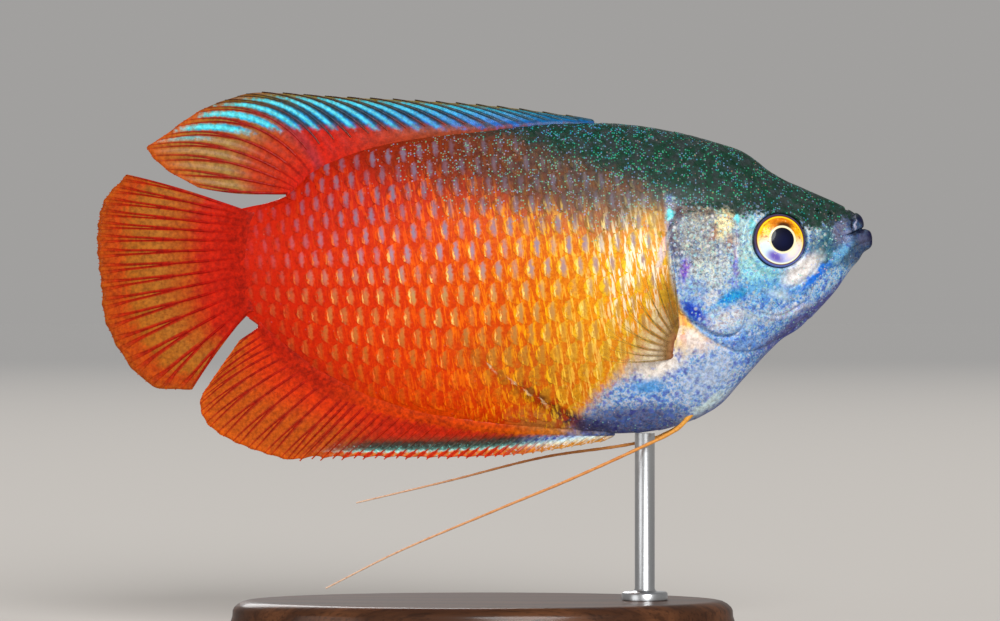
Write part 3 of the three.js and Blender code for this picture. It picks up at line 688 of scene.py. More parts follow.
# x, z, half length, half height, lean, softness, colour, strength
WARM_PATCHES = [
    (-14, 6.5, 13, 5.0, 3, 0.6, "a81404", 0.75),  # deeper red under the fin's soft end
    (-4, -17.2, 9, 1.9, -6, 0.6, "f04a04", 0.8),  # fire red at the root of the anal fin
    (-5, -11, 8, 4.5, -12, 0.8, "f24a06", 0.6),
]
BODY_PATCHES = [
    (4.5, -13.2, 6.5, 2.6, -24, 0.6, "c08a26", 0.65),  # olive gold above the belly fold
    (11, -10.5, 4.5, 2.6, -10, 0.7, "e0b030", 0.6),
    (6.4, -18.3, 3.6, 1.2, -12, 0.6, "c88440", 0.75),  # tan below the fold
    (7.0, -16.7, 5.0, 0.6, -33, 0.6, "5c2418", 0.85),  # shade in the fold
    (10.8, -18.5, 3.4, 0.8, -14, 0.6, "3c3450", 0.7),
    (16.4, -1.2, 2.2, 3.4, 12, 0.8, "ffd64a", 0.85),  # pale gold behind the gill cover
    (17.9, -0.9, 2.6, 0.3, 74, 0.6, "e6def2", 0.85),  # pale strip along the cleft
    (13.2, -3.6, 2.8, 3.0, 14, 0.8, "ffd428", 0.75),
    (12.0, -7.6, 3.2, 2.4, 10, 0.8, "ffc418", 0.7),
    (17.2, -12.2, 2.8, 1.6, 16, 0.5, "fffaf0", 1.0),  # pearl below the pectoral fin
    (19.6, -9.4, 0.8, 1.9, 10, 0.6, "ffe9b4", 0.9),
    (20.7, -9.9, 1.7, 1.0, -20, 0.6, "fff4ec", 0.95),
    (0.9, -12.8, 0.55, 0.13, -50, 0.5, "ffdcae", 1.0),  # painted glints: bright dashes along the fold
    (2.9, -14.1, 0.55, 0.13, -48, 0.5, "ffdcae", 1.0),
    (4.4, -15.2, 0.55, 0.13, -46, 0.5, "ffdcae", 1.0),
    (6.1, -16.2, 0.55, 0.13, -42, 0.5, "ffdcae", 1.0),
    (15.2, -17.8, 5.2, 1.3, 4, 0.6, "3a3d84", 0.8),  # indigo along the belly
    (16.4, -14.6, 1.5, 0.7, 0, 0.6, "3fa4f4", 0.8),
    (22.4, -13.6, 2.9, 1.5, 38, 0.7, "c4daf6", 0.7),
    (22.1, -16.7, 2.9, 0.5, 37, 0.6, "dffbff", 0.95),  # light on the keel of the breast
]
HEAD_PATCHES = [
    (37.0, 0.6, 3.0, 3.2, 0, 0.3, "3c4e70", 0.92),  # slate muzzle
    (34.4, -1.0, 2.2, 2.0, 0, 0.5, "4c7488", 0.8),
    (20.6, 2.9, 2.6, 0.9, -4, 0.6, "7c5236", 0.85),  # rusty fringe under the dark back
    (24.6, 3.0, 2.4, 0.7, 4, 0.6, "8c7240", 0.7),
    (21.6, 0.2, 3.2, 2.9, 0, 0.4, "9c9684", 0.7),  # mottled top of the gill cover
    (18.9, 0.4, 0.45, 3.0, 6, 0.6, "4a2a48", 0.75),  # dark hind edge
    (22.4, -3.4, 2.6, 1.7, 10, 0.6, "e9f2e6", 0.7),
    (26.3, -0.8, 1.2, 3.2, 6, 0.5, "cdf4f4", 0.85),  # silver between ridge and eye
    (27.6, -3.4, 2.4, 1.4, -16, 0.5, "a4ecf6", 0.9),
    (23.9, 1.5, 0.95, 1.5, -20, 0.35, "ffeeb4", 1.0),  # cream spot and its rusty edge
    (22.9, 0.7, 0.35, 0.9, -20, 0.6, "a0501c", 0.75),
    (24.4, -0.3, 0.35, 0.8, -10, 0.6, "b0622c", 0.6),
    (25.1, -0.9, 0.3, 1.7, -4, 0.7, "fbe2dc", 0.8),
    (20.0, -3.1, 0.5, 1.2, -12, 0.5, "8a54d8", 0.9),  # violet spot
    (21.2, -5.4, 1.2, 1.4, 12, 0.5, "8fb6f2", 0.8),
    (22.6, -5.9, 0.7, 0.7, 10, 0.5, "f2f6ff", 0.8),
    (25.0, -3.4, 0.28, 2.1, -2, 0.5, "9a9cf4", 0.9),  # lavender ridge
    (24.9, -5.6, 1.9, 0.6, 28, 0.6, "22a8ec", 0.95),  # bright cyan at the cheek's corner
    (28.6, -4.9, 2.6, 0.9, -4, 0.6, "6cb8f2", 0.8),
    (21.2, -7.4, 1.9, 0.5, -42, 0.5, "2148d0", 0.95),  # royal blue hind edge
    (24.4, -7.9, 2.2, 1.0, 10, 0.6, "f4f4f8", 0.8),
    (27.2, -7.7, 2.6, 0.5, 10, 0.6, "c8e4fa", 0.6),
    (30.4, -7.2, 2.4, 0.5, 22, 0.6, "d8d8ee", 0.7),
    (25.5, -10.4, 3.4, 0.9, 6, 0.6, "7fa8ee", 0.7),
    (30.6, -3.9, 1.4, 0.45, 14, 0.6, "5fb8f4", 0.7),
    (35.6, -1.3, 1.4, 0.5, 44, 0.6, "7fc8fb", 0.9),
    (34.2, -0.4, 0.7, 1.9, -8, 0.5, "3f7484", 0.8),  # teal before the eye
    (35.6, 0.9, 0.7, 1.6, -8, 0.5, "7c7e9a", 0.9),  # smooth band across the snout
    (36.3, 0.2, 0.5, 0.9, 0, 0.5, "8f9ac4", 0.7),
    (26.8, 1.4, 0.3, 1.2, 0, 0.6, "7fe8f2", 0.8),
]
CLEAR_PATCHES = [  # these lie over the head's foil
    (25.25, 2.2, 0.26, 0.6, 0, 0.4, "7ff2ff", 1.0),  # two cyan glints
    (18.55, 2.4, 0.32, 0.5, 0, 0.4, "6ff0fa", 1.0),
    (31.7, -3.0, 2.2, 0.9, 40, 0.5, "fffdf8", 0.9),  # white crescent below the eye, with a blue edge
    (33.0, -3.7, 2.1, 0.28, 44, 0.6, "1a7af4", 0.95),
    (29.4, -5.4, 1.1, 0.4, -10, 0.8, "dff6ff", 0.6),
    (31.6, -7.95, 5.4, 0.5, 38, 0.7, "4c3c86", 0.8),  # painted rim sheen: violet along the jaw's lower edge
    (37.3, 2.5, 1.1, 0.42, -46, 0.5, "14183c", 1.0),  # dark lips
    (37.95, 1.6, 0.26, 0.8, 0, 0.5, "14183c", 1.0),
    (37.15, 1.6, 0.1, 0.7, 4, 0.5, "b0b4d0", 0.8),  # light on the upper lip
    (36.75, 1.6, 0.14, 1.1, 6, 0.5, "1a1c34", 0.95),
    (38.75, 0.2, 0.34, 1.1, 6, 0.5, "16183e", 1.0),
    (37.9, 1.0, 0.9, 0.14, 24, 0.6, "10122e", 0.9),
    (38.0, 0.1, 0.5, 0.7, 0, 0.5, "565a7c", 0.8),
    (36.0, 2.9, 0.7, 0.5, -30, 0.6, "4c4250", 0.7),
]


def paint_patches(pen, paint, patches, view, where=None):
    """Paints soft ovals over a colour, one after the other. where is a mask that breaks them up."""
    for x, z, half_length, half_height, lean, softness, code, strength in patches:
        mask = pen.patch(view, x, z, half_length, half_height, lean, softness)
        if where is not None:
            mask = pen.times(mask, where)
        paint = pen.blend(pen.times(mask, strength), paint, colour(code))
    return paint


print("small markings:", len(WARM_PATCHES + BODY_PATCHES + HEAD_PATCHES + CLEAR_PATCHES))

# %% [markdown]
# ## The markings, from the tail forwards
# The group is built in steps. Places along and up the fish come first, pushed about by noise so that no
# edge looks ruled. Then the paint is laid on as on a model: the warm flank, the dusk of the back, the
# breast, the head, and the shade that all of it shares. The last step hands the colour on, with masks
# that tell the finishes where scales have lenses and flames, and where crystals sparkle.

# %% Warm flank and dusky back
markings, pen, source, sink = new_group("gourami_markings", [], [
    ("Colour", "Color"),
    ("Lens", "Float"),
    ("Flame", "Float"),
    ("Glitter", "Float"),
    ("Spark", "Color"),
    ("Pearl", "Float"),
])
x, y, z, fish_place = side_view(pen)
drift = pen.waver(fish_place, 0.45)
fray = pen.waver(fish_place, 1.7, 3.0, 0.6)
fleck = pen.waver(fish_place, 3.0, 2.0, 0.6)
push = pen.waver_pair(fish_place, 1.3)
loose_view = (pen.plus(x, push[0]), pen.plus(z, push[1]))

warmth = pen.sloped(drift, 8.0, pen.sloped(z, 0.1, x))
paint = pen.ramp(pen.ease(warmth, -36.0, 22.0), WARM_STOPS)
paint = paint_patches(pen, paint, WARM_PATCHES, loose_view)

above_dusk = pen.minus(z, pen.profile(x, DUSK_EDGE))
dusk = pen.ease(pen.sloped(drift, 5.0, above_dusk), -3.0, 3.4)
dusk_front = pen.times(dusk, pen.ease(x, -15.0, 1.0))
stains = pen.ease(pen.noise(fish_place, 0.9, 3.0, 0.6), 0.4, 0.62)
front_brown = pen.blend(stains, colour("3c4242"), colour("5a3e2e"))
brown = pen.blend(pen.ease(x, -8.0, 9.0), colour("642e14"), front_brown)
paint = pen.over(paint, (pen.times(dusk, 0.68), "801e0a"))
paint = pen.blend(pen.times(dusk_front, 0.92), paint, brown)

# The dark green back frays out behind, and has a crisper edge over the eye
above_back = pen.minus(z, pen.profile(x, BACK_EDGE))
softness = pen.sloped(pen.ease(x, 16.0, 21.0), -0.9, 1.5)
ragged = pen.sloped(drift, 3.0, pen.sloped(fleck, 3.2, above_back))
dark_back = pen.ease(pen.math("DIVIDE", ragged, softness), -1.0, 1.0)
back_front = pen.times(dark_back, pen.ease(x, -14.0, -1.0))
print("flank and back painted with", len(markings.nodes), "nodes so far")

# %% Breast, and the pearly clouds that it shares with the head
cloud = pen.noise(fish_place, 1.1, 3.0, 0.62)
clouds = pen.sloped(fleck, 0.4, cloud)
pearl = pen.ramp(pen.ease(clouds, 0.24, 0.76), [
    (0.0, "3c52b4"), (0.2, "5a8ae8"), (0.36, "74c4f8"), (0.5, "c8eefc"), (0.62, "fffaf6"), (0.74, "9adcfa"),
    (0.86, "7a9cf2"), (1.0, "5c5ecc"),
])
below_breast = pen.minus(pen.profile(x, BREAST_EDGE), z)
breast = pen.ease(pen.sloped(fray, 4.0, below_breast), -1.6, 1.2)
paint = pen.blend(breast, paint, pen.blend(0.6, colour("7a90dc"), pearl))
paint = paint_patches(pen, paint, BODY_PATCHES, loose_view, pen.ease(clouds, 0.2, 0.52))
print("breast painted with", len(markings.nodes), "nodes so far")

# %% Head: base colours, mottled gill cover, foil and clear small markings
before_gills = pen.minus(x, pen.profile(z, HEAD_EDGE))
all_head = pen.ease(before_gills, -0.3, 0.35)
head = pen.times(all_head, pen.ease(dark_back, 0.8, 0.2))
silver_blue = pen.blend(pen.ease(z, -3.0, 2.0), colour("7ab0f2"), colour("b4bcbc"))
low_blue = (pen.times(pen.ease(z, -3.0, -8.0), 0.35), "6f98e4")
head_paint = pen.over(pen.blend(0.7, silver_blue, pearl), low_blue)
head_paint = paint_patches(pen, head_paint, HEAD_PATCHES, loose_view)

grit = pen.noise(fish_place, 3.4, 3.0, 0.65)
scabs = pen.times(pen.ease(grit, 0.5, 0.36), pen.patch((x, z), 22.0, -0.6, 4.2, 4.4, 0, 0.5), 0.65)
glow = pen.times(pen.ease(grit, 0.55, 0.68), pen.patch((x, z), 22.6, -0.6, 4.2, 4.4, 0, 0.5), 0.6)
head_paint = pen.over(head_paint, (scabs, "5a5058"), (glow, "f4ecc4"))

# Foil: the head's bright bones, crumpled patches of white, cyan, violet and rust
crumple = pen.add("ShaderNodeTexNoise", {
    "Vector": fish_place,
    "Scale": 1.7,
    "Detail": 2.5,
    "Roughness": 0.6,
    "Distortion": 1.6,
}).outputs["Fac"]
foil = pen.ramp(pen.ease(crumple, 0.28, 0.72), [
    (0.0, "5a5abc"), (0.2, "70a8f0"), (0.36, "b4f2fa"), (0.5, "ffffff"), (0.64, "fff4d4"), (0.8, "acc4ec"),
    (1.0, "b0806c"),
])
head_paint = pen.blend(0.62, head_paint, foil, "MULTIPLY")
# Painted highlights: white, cyan and gold sparkles on the head's crystal flakes
glint_flakes = use_group(pen, glitter, Place=fish_place, Size=0.42, Amount=0.3)
glint_flake_paint = pen.ramp(glint_flakes["Pick"], [(0.0, "ffffff"), (0.4, "e8fbff"), (0.6, "9ff4ff"), (1.0, "fff0c0")])
glint_flakes_here = pen.times(glint_flakes["Mask"], pen.ease(x, 36.0, 33.0), 0.5)
head_paint = pen.blend(glint_flakes_here, head_paint, glint_flake_paint)
head_paint = paint_patches(pen, head_paint, CLEAR_PATCHES, loose_view)
paint = pen.blend(all_head, paint, head_paint)
print("head painted with", len(markings.nodes), "nodes so far")

# %% Dark back, keel and shade, and what the finishes need to know
paint = pen.blend(back_front, paint, pen.blend(stains, colour("1b3e30"), colour("344040")))
# Painted rim sheen: violet blue along the keel under breast and throat, where the skin turns away
near_keel = pen.ease(pen.math("ABSOLUTE", y), 1.7, 0.5)
keel = pen.times(near_keel, pen.ease(z, -2.0, -5.0), pen.ease(x, 10.0, 16.0), 0.6)
mottle = pen.noise(fish_place, 2.6, 4.0, 0.7)
shade = pen.blend(pen.ease(mottle, 0.3, 0.66), colour("c8beba"), colour("f8f4f2"))
pen.feed(sink["Colour"], pen.blend(1.0, pen.over(paint, (keel, "4a46a0")), shade, "MULTIPLY"))

flank_only = pen.times(pen.ease(before_gills, 0.6, -0.6), pen.ease(below_breast, 0.8, -2.0))
lens_place = pen.times(pen.ease(z, -20.0, -6.0), pen.ease(x, -27.0, -6.0), pen.ease(back_front, 0.7, 0.0))
pen.feed(sink["Lens"], pen.times(flank_only, lens_place, pen.sloped(dusk_front, -0.55, 1.0)))
flame_place = pen.times(pen.ease(dusk, 1.2, 0.1), pen.ease(back_front, 0.8, 0.1))
pen.feed(sink["Flame"], pen.times(flank_only, flame_place))

back_speckle = pen.times(back_front, pen.sloped(pen.ease(x, 12.0, 28.0), -0.24, 0.5))
speckles = (back_speckle, pen.times(dusk_front, 0.36), pen.times(head, 0.2), pen.times(breast, 0.1))
pen.feed(sink["Glitter"], pen.times(pen.largest(*speckles), pen.ease(x, 37.5, 34.5)))
pearly = pen.largest(head, breast)
under_back_fin = pen.patch((x, z), 3.5, 11.6, 12.0, 1.3, -1, 0.5)
sparks = [(back_front, "22a070"), (under_back_fin, "0c9cf0"), (pearly, "e9f4ff")]
pen.feed(sink["Spark"], pen.over(colour("a8b8a0"), *sparks))
pen.feed(sink["Pearl"], pearly)
print("markings group:", len(markings.nodes), "nodes")

# %% [markdown]
# ## Skin and scale finishes
# Both finishes start from the markings, with crystals over them. A thin clear coat gives the wet gloss.
# The scales add what the real ones show: a grey lavender lens in the open part of each, a redder root,
# flame-like gold streaks that are partly painted highlights along the free edges, and fine growth rings as
# bump. Painted highlights beside the lenses and painted reflections behind the gill cover come on top.
# Their own map, scale_place, tells how far back and across its scale a point is.

# %% Crystals and gloss
SPARK_SIZE = 0.19  # millimetres from one crystal to the next
SPARK_TINTS = [
    (0.0, "1f8cc0"), (0.25, "1fb870"), (0.5, "5cb898"), (0.7, "5f74c8"), (0.85, "8f86c0"), (1.0, "b8603c"),
]
WET_ROUGHNESS = 0.42
WET_COAT = 0.05


def add_crystals(pen, marks, paint):
    """Lays the tinted glitter over a colour, in clumps."""
    place = side_view(pen)[3]
    clumps = pen.ease(pen.noise(place, 1.0), 0.4, 0.6)
    amount = pen.times(marks["Glitter"], pen.sloped(clumps, 1.0, 0.35))
    sparks = use_group(pen, glitter, Place=place, Size=SPARK_SIZE, Amount=amount)
    tint = pen.blend(0.68, marks["Spark"], pen.ramp(sparks["Pick"], SPARK_TINTS))
    return pen.blend(pen.times(sparks["Mask"], 0.85), paint, tint)


def finish_shader(shader, roughness=WET_ROUGHNESS, coat=WET_COAT):
    """The plain values that every wet surface of the fish shares."""
    shader.inputs["Roughness"].default_value = roughness
    shader.inputs["Coat Weight"].default_value = coat
    shader.inputs["Coat Roughness"].default_value = 0.15
    shader.inputs["Specular IOR Level"].default_value = 0.06


print("crystals about", SPARK_SIZE, "mm apart")

# %% Skin finish
def skin_material():
    """The skin of the head, and what shows between the scales."""
    material, pen, shader = new_material("gourami_skin")
    marks = use_group(pen, markings)
    pen.feed(shader.inputs["Base Color"], add_crystals(pen, marks, marks["Colour"]))
    pen.feed(shader.inputs["Metallic"], pen.times(marks["Pearl"], 0.08))
    pen.bump(shader, pen.noise(side_view(pen)[3], 5.0, 4.0, 0.65), 0.2, 0.05)
    finish_shader(shader)
    return material


skin.data.materials.append(skin_material())
print("skin finish:", skin.data.materials[0].name)

# %% Scale finish
GOLD_STOPS = [(0.0, "f25206"), (0.35, "ff840a"), (0.7, "ffc00e"), (1.0, "ffe67a")]
LENS_STOPS = [(0.0, "a8681c"), (0.45, "b88850"), (0.75, "9c8294"), (1.0, "756c82")]
GROWTH_RINGS = 60.0  # how fast the rings follow each other, in radians over half a scale


def paint_flames(pen, marks, paint, x, own, streaks):
    """A redder root on each scale, and gold streaks over its open part, like flames: the scales' own gold,
    partly painted highlights near the free edge.
    """
    back, across = own
    root = pen.times(pen.ease(back, 0.42, 0.1), marks["Flame"], 0.5)
    redder = pen.blend(pen.ease(x, 4.0, 20.0), colour("c41e02"), colour("e86a08"))
    paint = pen.blend(root, paint, redder)
    # painted highlight, in part: the gold streaks grow stronger towards each scale's free edge
    edge = pen.ease(pen.sloped(pen.math("ABSOLUTE", across), 0.5, back), 0.2, 0.9)
    flames = pen.times(pen.ease(streaks, 0.5, 0.62), pen.sloped(edge, 0.35, 0.45), pen.ease(x, -26.0, -2.0))
    return pen.blend(pen.times(flames, marks["Flame"]), paint, pen.ramp(pen.ease(x, -14.0, 18.0), GOLD_STOPS))


def paint_lens(pen, marks, paint, z, own):
    """The dull oval in the open part of each scale. It is longer up and down in the lower rows."""
    back, across = own
    tone = pen.attribute("tone")
    closer = pen.times(across, pen.sloped(pen.ease(z, -3.0, -10.0), -0.35, 0.95))
    lens = pen.patch((back, closer), 0.5, 0.0, 0.15, 0.6, 5, 0.75)
    lens = pen.times(lens, marks["Lens"], pen.ease(tone, 0.3, 0.9))
    return pen.blend(lens, paint, pen.ramp(pen.ease(z, -16.0, 6.0), LENS_STOPS))


def paint_highlights(pen, marks, paint, view, own, streaks):
    """Painted highlights: pale gold dashes beside the lenses of the middle flank, near-white ones behind the
    gill cover.
    """
    # painted highlight: pale gold dashes beside the lens of each scale
    beside_lens = pen.patch(own, 0.7, 0.2, 0.06, 0.5, 5, 0.8)
    middle_flank = pen.patch(view, 4.0, -4.5, 24.0, 7.0, 8, 0.6)
    light = pen.times(beside_lens, marks["Lens"], middle_flank, pen.ease(streaks, 0.42, 0.6), 0.9)
    paint = pen.blend(light, paint, colour("ffe07c"))
    # painted reflection: near-white streaks on the scales behind the gill cover
    behind_gills = pen.patch(view, 15.2, -3.4, 3.4, 5.0, 10, 0.6)
    return pen.blend(pen.times(behind_gills, pen.ease(streaks, 0.5, 0.6), 0.75), paint, colour("fff6e0"))


def scale_material():
    """The coat of scales."""
    material, pen, shader = new_material("gourami_scales")
    marks = use_group(pen, markings)
    x, y, z, fish_place = side_view(pen)
    map_parts = pen.parts(pen.map_place("scale_place"))
    push = pen.waver_pair(fish_place, 2.6)
    own = (pen.sloped(push[0], 0.4, map_parts["X"]), pen.sloped(push[1], 0.5, map_parts["Y"]))
    slanted = pen.times(pen.sloped(z, 0.16, x), 3.6)
    stretched = pen.add("ShaderNodeCombineXYZ", {"X": slanted, "Y": y, "Z": pen.times(z, 0.55)})
    streaks = pen.noise(stretched.outputs["Vector"], 1.0, 3.0, 0.6)

    paint = paint_flames(pen, marks, marks["Colour"], x, own, streaks)
    paint = paint_lens(pen, marks, paint, z, own)
    paint = paint_highlights(pen, marks, paint, (x, z), own, streaks)
    pen.feed(shader.inputs["Base Color"], add_crystals(pen, marks, paint))
    pen.feed(shader.inputs["Metallic"], pen.times(marks["Pearl"], 0.08))
    pen.bump(shader, pen.math("SINE", pen.times(map_parts["X"], GROWTH_RINGS)), 0.15, 0.01)
    finish_shader(shader)
    return material


scale_finish = scale_material()
print("scale finish:", scale_finish.name)

# %% [markdown]
# ## Growing repeated forms with Geometry Nodes
# Scales and fin rays repeat hundreds of times, so a geometry tree makes them: it is handed the places and
# one shape, and does the rest. grow() runs a tree on a mesh and keeps the result as a plain mesh.

# %% Helpers for geometry trees
def new_geometry_tree(name, inputs):
    """A geometry node tree with a Geometry input and output, and named inputs for its sizes."""
    tree = bpy.data.node_groups.new(name, "GeometryNodeTree")
    tree.interface.new_socket("Geometry", in_out="INPUT", socket_type="NodeSocketGeometry")
    for label, kind in inputs:
        tree.interface.new_socket(label, in_out="INPUT", socket_type="NodeSocket" + kind)
    tree.interface.new_socket("Geometry", in_out="OUTPUT", socket_type="NodeSocketGeometry")
    source = tree.nodes.new("NodeGroupInput").outputs
    sink = tree.nodes.new("NodeGroupOutput").inputs
    return tree, Pen(tree), source, sink


def named(pen, name, kind="FLOAT_VECTOR"):
    """Reads an attribute that travels with the geometry."""
    return pen.add("GeometryNodeInputNamedAttribute", {"Name": name}, data_type=kind).outputs["Attribute"]


def store_map(pen, geometry, name, value):
    """Keeps a value as a UV map."""
    values = {"Geometry": geometry, "Name": name, "Value": value}
    kind = {"data_type": "FLOAT2", "domain": "CORNER"}
    return pen.add("GeometryNodeStoreNamedAttribute", values, **kind).outputs["Geometry"]


def add_attribute(mesh, name, kind, values):
    """Stores numbers on the points of a mesh."""
    layer = mesh.attributes.new(name, kind, "POINT")
    layer.data.foreach_set("vector" if kind == "FLOAT_VECTOR" else "value", np.ravel(values))


def add_map(mesh, name, spots):
    """Stores a UV map, from one spot for each point of the mesh."""
    order = np.zeros(len(mesh.loops), int)
    mesh.loops.foreach_get("vertex_index", order)
    mesh.uv_layers.new(name=name).data.foreach_set("uv", spots[order][:, :2].ravel())


def grow(tree, start, name, **inputs):
    """Runs a tree on a mesh, and gives the result as an object with a plain mesh."""
    seed = link(bpy.data.objects.new(name + "_start", start))
    modifier = seed.modifiers.new("grow", "NODES")
    modifier.node_group = tree
    for item in tree.interface.items_tree:
        if item.in_out == "INPUT" and item.name in inputs:
            modifier[item.identifier] = inputs[item.name]
    bpy.context.view_layer.update()
    graph = bpy.context.evaluated_depsgraph_get()
    mesh = bpy.data.meshes.new_from_object(seed.evaluated_get(graph))
    seed.modifiers.clear()
    bpy.data.objects.remove(seed)
    mesh.name = name
    return link(mesh)


print("helpers ready for geometry trees")

# %% [markdown]
# ## One scale
# A scale is a thin plate, rooted in the skin at the front, with a rounded free edge behind. It is built
# once, with coordinates from -1 to 1, in a few dozen faces. The wrap tree will bend each copy.

# %% The shape of a scale
PLATE_STEPS = 6
PLATE_THICKNESS = 0.34  # this and all heights here are shares of the coat's rise
ROOT_SINK = 0.55
EDGE_RISE = 1.5
SIDE_DROOP = 0.3
EDGE_DROOP = 0.18
ROOT_WIDTH = 0.78
SIDE_CUT = 0.62  # how much less far back a scale reaches at its sides


def grid_edge(columns, rows):
    """The numbers of the points round the edge of a grid, in order."""
    edge = [i * rows for i in range(columns - 1)]
    edge += [(columns - 1) * rows + j for j in range(rows - 1)]
    edge += [i * rows + rows - 1 for i in range(columns - 1, 0, -1)]
    return edge + list(range(rows - 1, 0, -1))


def scale_plate():
    """One scale: x from its root (-1) to its free edge (1), y across it, z out of the skin."""
    plate = bmesh.new()
    row = PLATE_STEPS + 1
    top = []
    for k in range(row * row):
        u = k // row / PLATE_STEPS
        v = 2 * (k % row) / PLATE_STEPS - 1
        reach = 2 - SIDE_CUT * abs(v) ** 2.4
        width = ROOT_WIDTH + (1 - ROOT_WIDTH) * math.sin(math.pi * min(0.15 + u * 0.8, 1))
        rise = -ROOT_SINK + EDGE_RISE * u**0.85 - SIDE_DROOP * v * v - EDGE_DROOP * u**8
        top.append(plate.verts.new((-1 + u * reach, v * width, rise)))
    for a in [i * row + j for i in range(PLATE_STEPS) for j in range(PLATE_STEPS)]:
        plate.faces.new((top[a], top[a + row], top[a + row + 1], top[a + 1]))
    rim = [top[k] for k in reversed(grid_edge(row, row))]
    lower = [plate.verts.new(vert.co - Vector((0, 0, PLATE_THICKNESS))) for vert in rim]
    for k in range(len(rim)):
        plate.faces.new((rim[k - 1], rim[k], lower[k], lower[k - 1]))
    plate.faces.new(lower)
    for ring in (rim, lower):
        for k in range(len(ring)):
            plate.edges.get((ring[k - 1], ring[k])).smooth = False
    bmesh.ops.recalc_face_normals(plate, faces=plate.faces)
    made = into_scene(plate, "scale_plate")
    places = np.zeros(3 * len(made.data.vertices))
    made.data.vertices.foreach_get("co", places)
    add_attribute(made.data, "plate", "FLOAT_VECTOR", places)
    return made


plate = scale_plate()
print("one scale:", len(plate.data.polygons), "faces")

# %% [markdown]
# ## The sheet that the scales wrap onto
# Scales must follow the curve of the flank, or their corners would stand off. A copy of the skin's shape
# is made as a grid with an unwrap of its own, a little more than once round, so that no scale meets the
# seam. Sample UV Surface then finds, for any spot of the unwrap, where it lies in space.

# %% The wrap sheet
SHEET_RINGS = 250
SHEET_TURNS = 200
SHEET_START = 0.004  # just behind the tip of the snout, as a share of the rings
SHEET_OVERLAP = 0.1  # how far the sheet goes past the belly line at both ends, in turns
SHEET_SPAN = 1 + 2 * SHEET_OVERLAP


def to_unwrap(share, turn):
    """A spot of the unwrap, from 0 to 1 both ways."""
    return np.stack([share, (turn + SHEET_OVERLAP) / SHEET_SPAN, 0 * share], axis=-1)


def wrap_sheet():
    """The skin's shape as a plain grid with an unwrap and a direction out at each point."""
    shares, turns = np.meshgrid(
        np.linspace(SHEET_START, 1, SHEET_RINGS + 1),
        np.linspace(-SHEET_OVERLAP, 1 + SHEET_OVERLAP, SHEET_TURNS + 1),
        indexing="ij",
    )
    places = to_metres(skin_point(ring_place(shares), turns)).reshape(-1, 3)
    row = SHEET_TURNS + 1
    corners = [i * row + j for i in range(SHEET_RINGS) for j in range(SHEET_TURNS)]
    faces = [(a, a + 1, a + row + 1, a + row) for a in corners]
    mesh = bpy.data.meshes.new("wrap_sheet")
    mesh.from_pydata(places.tolist(), [], faces)
    add_map(mesh, "unwrap", to_unwrap(shares, turns).reshape(-1, 3))
    add_attribute(mesh, "out", "FLOAT_VECTOR", body_normal(ring_place(shares), turns))
    return link(mesh)


sheet = wrap_sheet()
print("wrap sheet:", len(sheet.data.polygons), "faces")

# %% [markdown]
# ## Where the scales grow
# Real scales stand in rows, each row half a step behind its neighbours, and the rows draw together at the
# head and at the tail. Each scale's spot is found on the unwrap, with the direction of its row there and
# a size of its own. A seeded random draw keeps them from looking stamped.

# %% Where a row runs, and where no scale grows
PITCH = np.array([[-25, 1.3], [-14, 1.52], [-2, 1.62], [14, 1.58], [19, 1.35], [26, 1.02], [32, 0.85]])
SPACING = np.array([[-25, 1.45], [-16, 1.9], [-4, 2.2], [14, 2.15], [20, 1.75], [27, 1.25], [32, 1.05]])
ROW_LINE = {"x": -24.0, "z": -2.3, "slope": 0.055}  # the middle row, which climbs towards the head
RING_SPOTS = np.linspace(0.0, 0.5, 321)  # belly to back on the right side
CLEAR_OF_KEEL = 0.3  # the room left at the belly line and at the back line, as shares of the spacing
CLEAR_OF_RIDGE = 0.25
CLEAR_OF_EYE = 4.3
CLEAR_OF_CLEFT = 0.75
CLEAR_OF_THROAT = 0.6
COVER_CLEFT = {"before": 21.8, "below": -7.0, "top": 2.6}  # the stretch of the cover's edge with a cleft
BARE_JAW = {"x": 24.5, "z": -6.2, "slope": 0.9}
BARE_SNOUT = 31.2


def turn_at(x, row):
    """How far round the body a row lies at places along it, and whether the row reaches there."""
    x = np.atleast_1d(x)
    ring = body_point(x[:, None], RING_SPOTS[None, :])
    steps = np.linalg.norm(np.diff(ring, axis=1), axis=-1)
    arcs = np.concatenate([np.zeros((len(x), 1)), np.cumsum(steps, axis=1)], axis=1)
    line = ROW_LINE["z"] + ROW_LINE["slope"] * (x - ROW_LINE["x"])
    spacing = np.interp(x, SPACING[:, 0], SPACING[:, 1])
    turns, there = np.zeros(len(x)), np.zeros(len(x), bool)
    for k in range(len(x)):
        wanted = np.interp(line[k], ring[k, :, 2], arcs[k]) + row * spacing[k]
        turns[k] = np.interp(wanted, arcs[k], RING_SPOTS)
        there[k] = CLEAR_OF_KEEL * spacing[k] < wanted < arcs[k, -1] - CLEAR_OF_RIDGE * spacing[k]
    return turns, there


def keeps_scale(x, z):
    """Whether a scale may grow at a place in side view."""
    from_eye = np.hypot(x - EYE["x"], z - EYE["z"])
    hind = (x < COVER_CLEFT["before"]) | (z < COVER_CLEFT["below"])
    cleft = hind & (distance_to(COVER_PATH, x, z) < CLEAR_OF_CLEFT) & (z < COVER_CLEFT["top"])
    jaw = (x > BARE_JAW["x"]) & (z < BARE_JAW["z"] + BARE_JAW["slope"] * (x - BARE_JAW["x"]))
    throat = distance_to(THROAT_PATH, x, z) < CLEAR_OF_THROAT
    return ~(cleft | jaw | throat | (x > BARE_SNOUT)) & (from_eye > CLEAR_OF_EYE)


print("rows about", SPACING[:, 1].max(), "mm apart, scales", PITCH[:, 1].max(), "mm apart in a row")

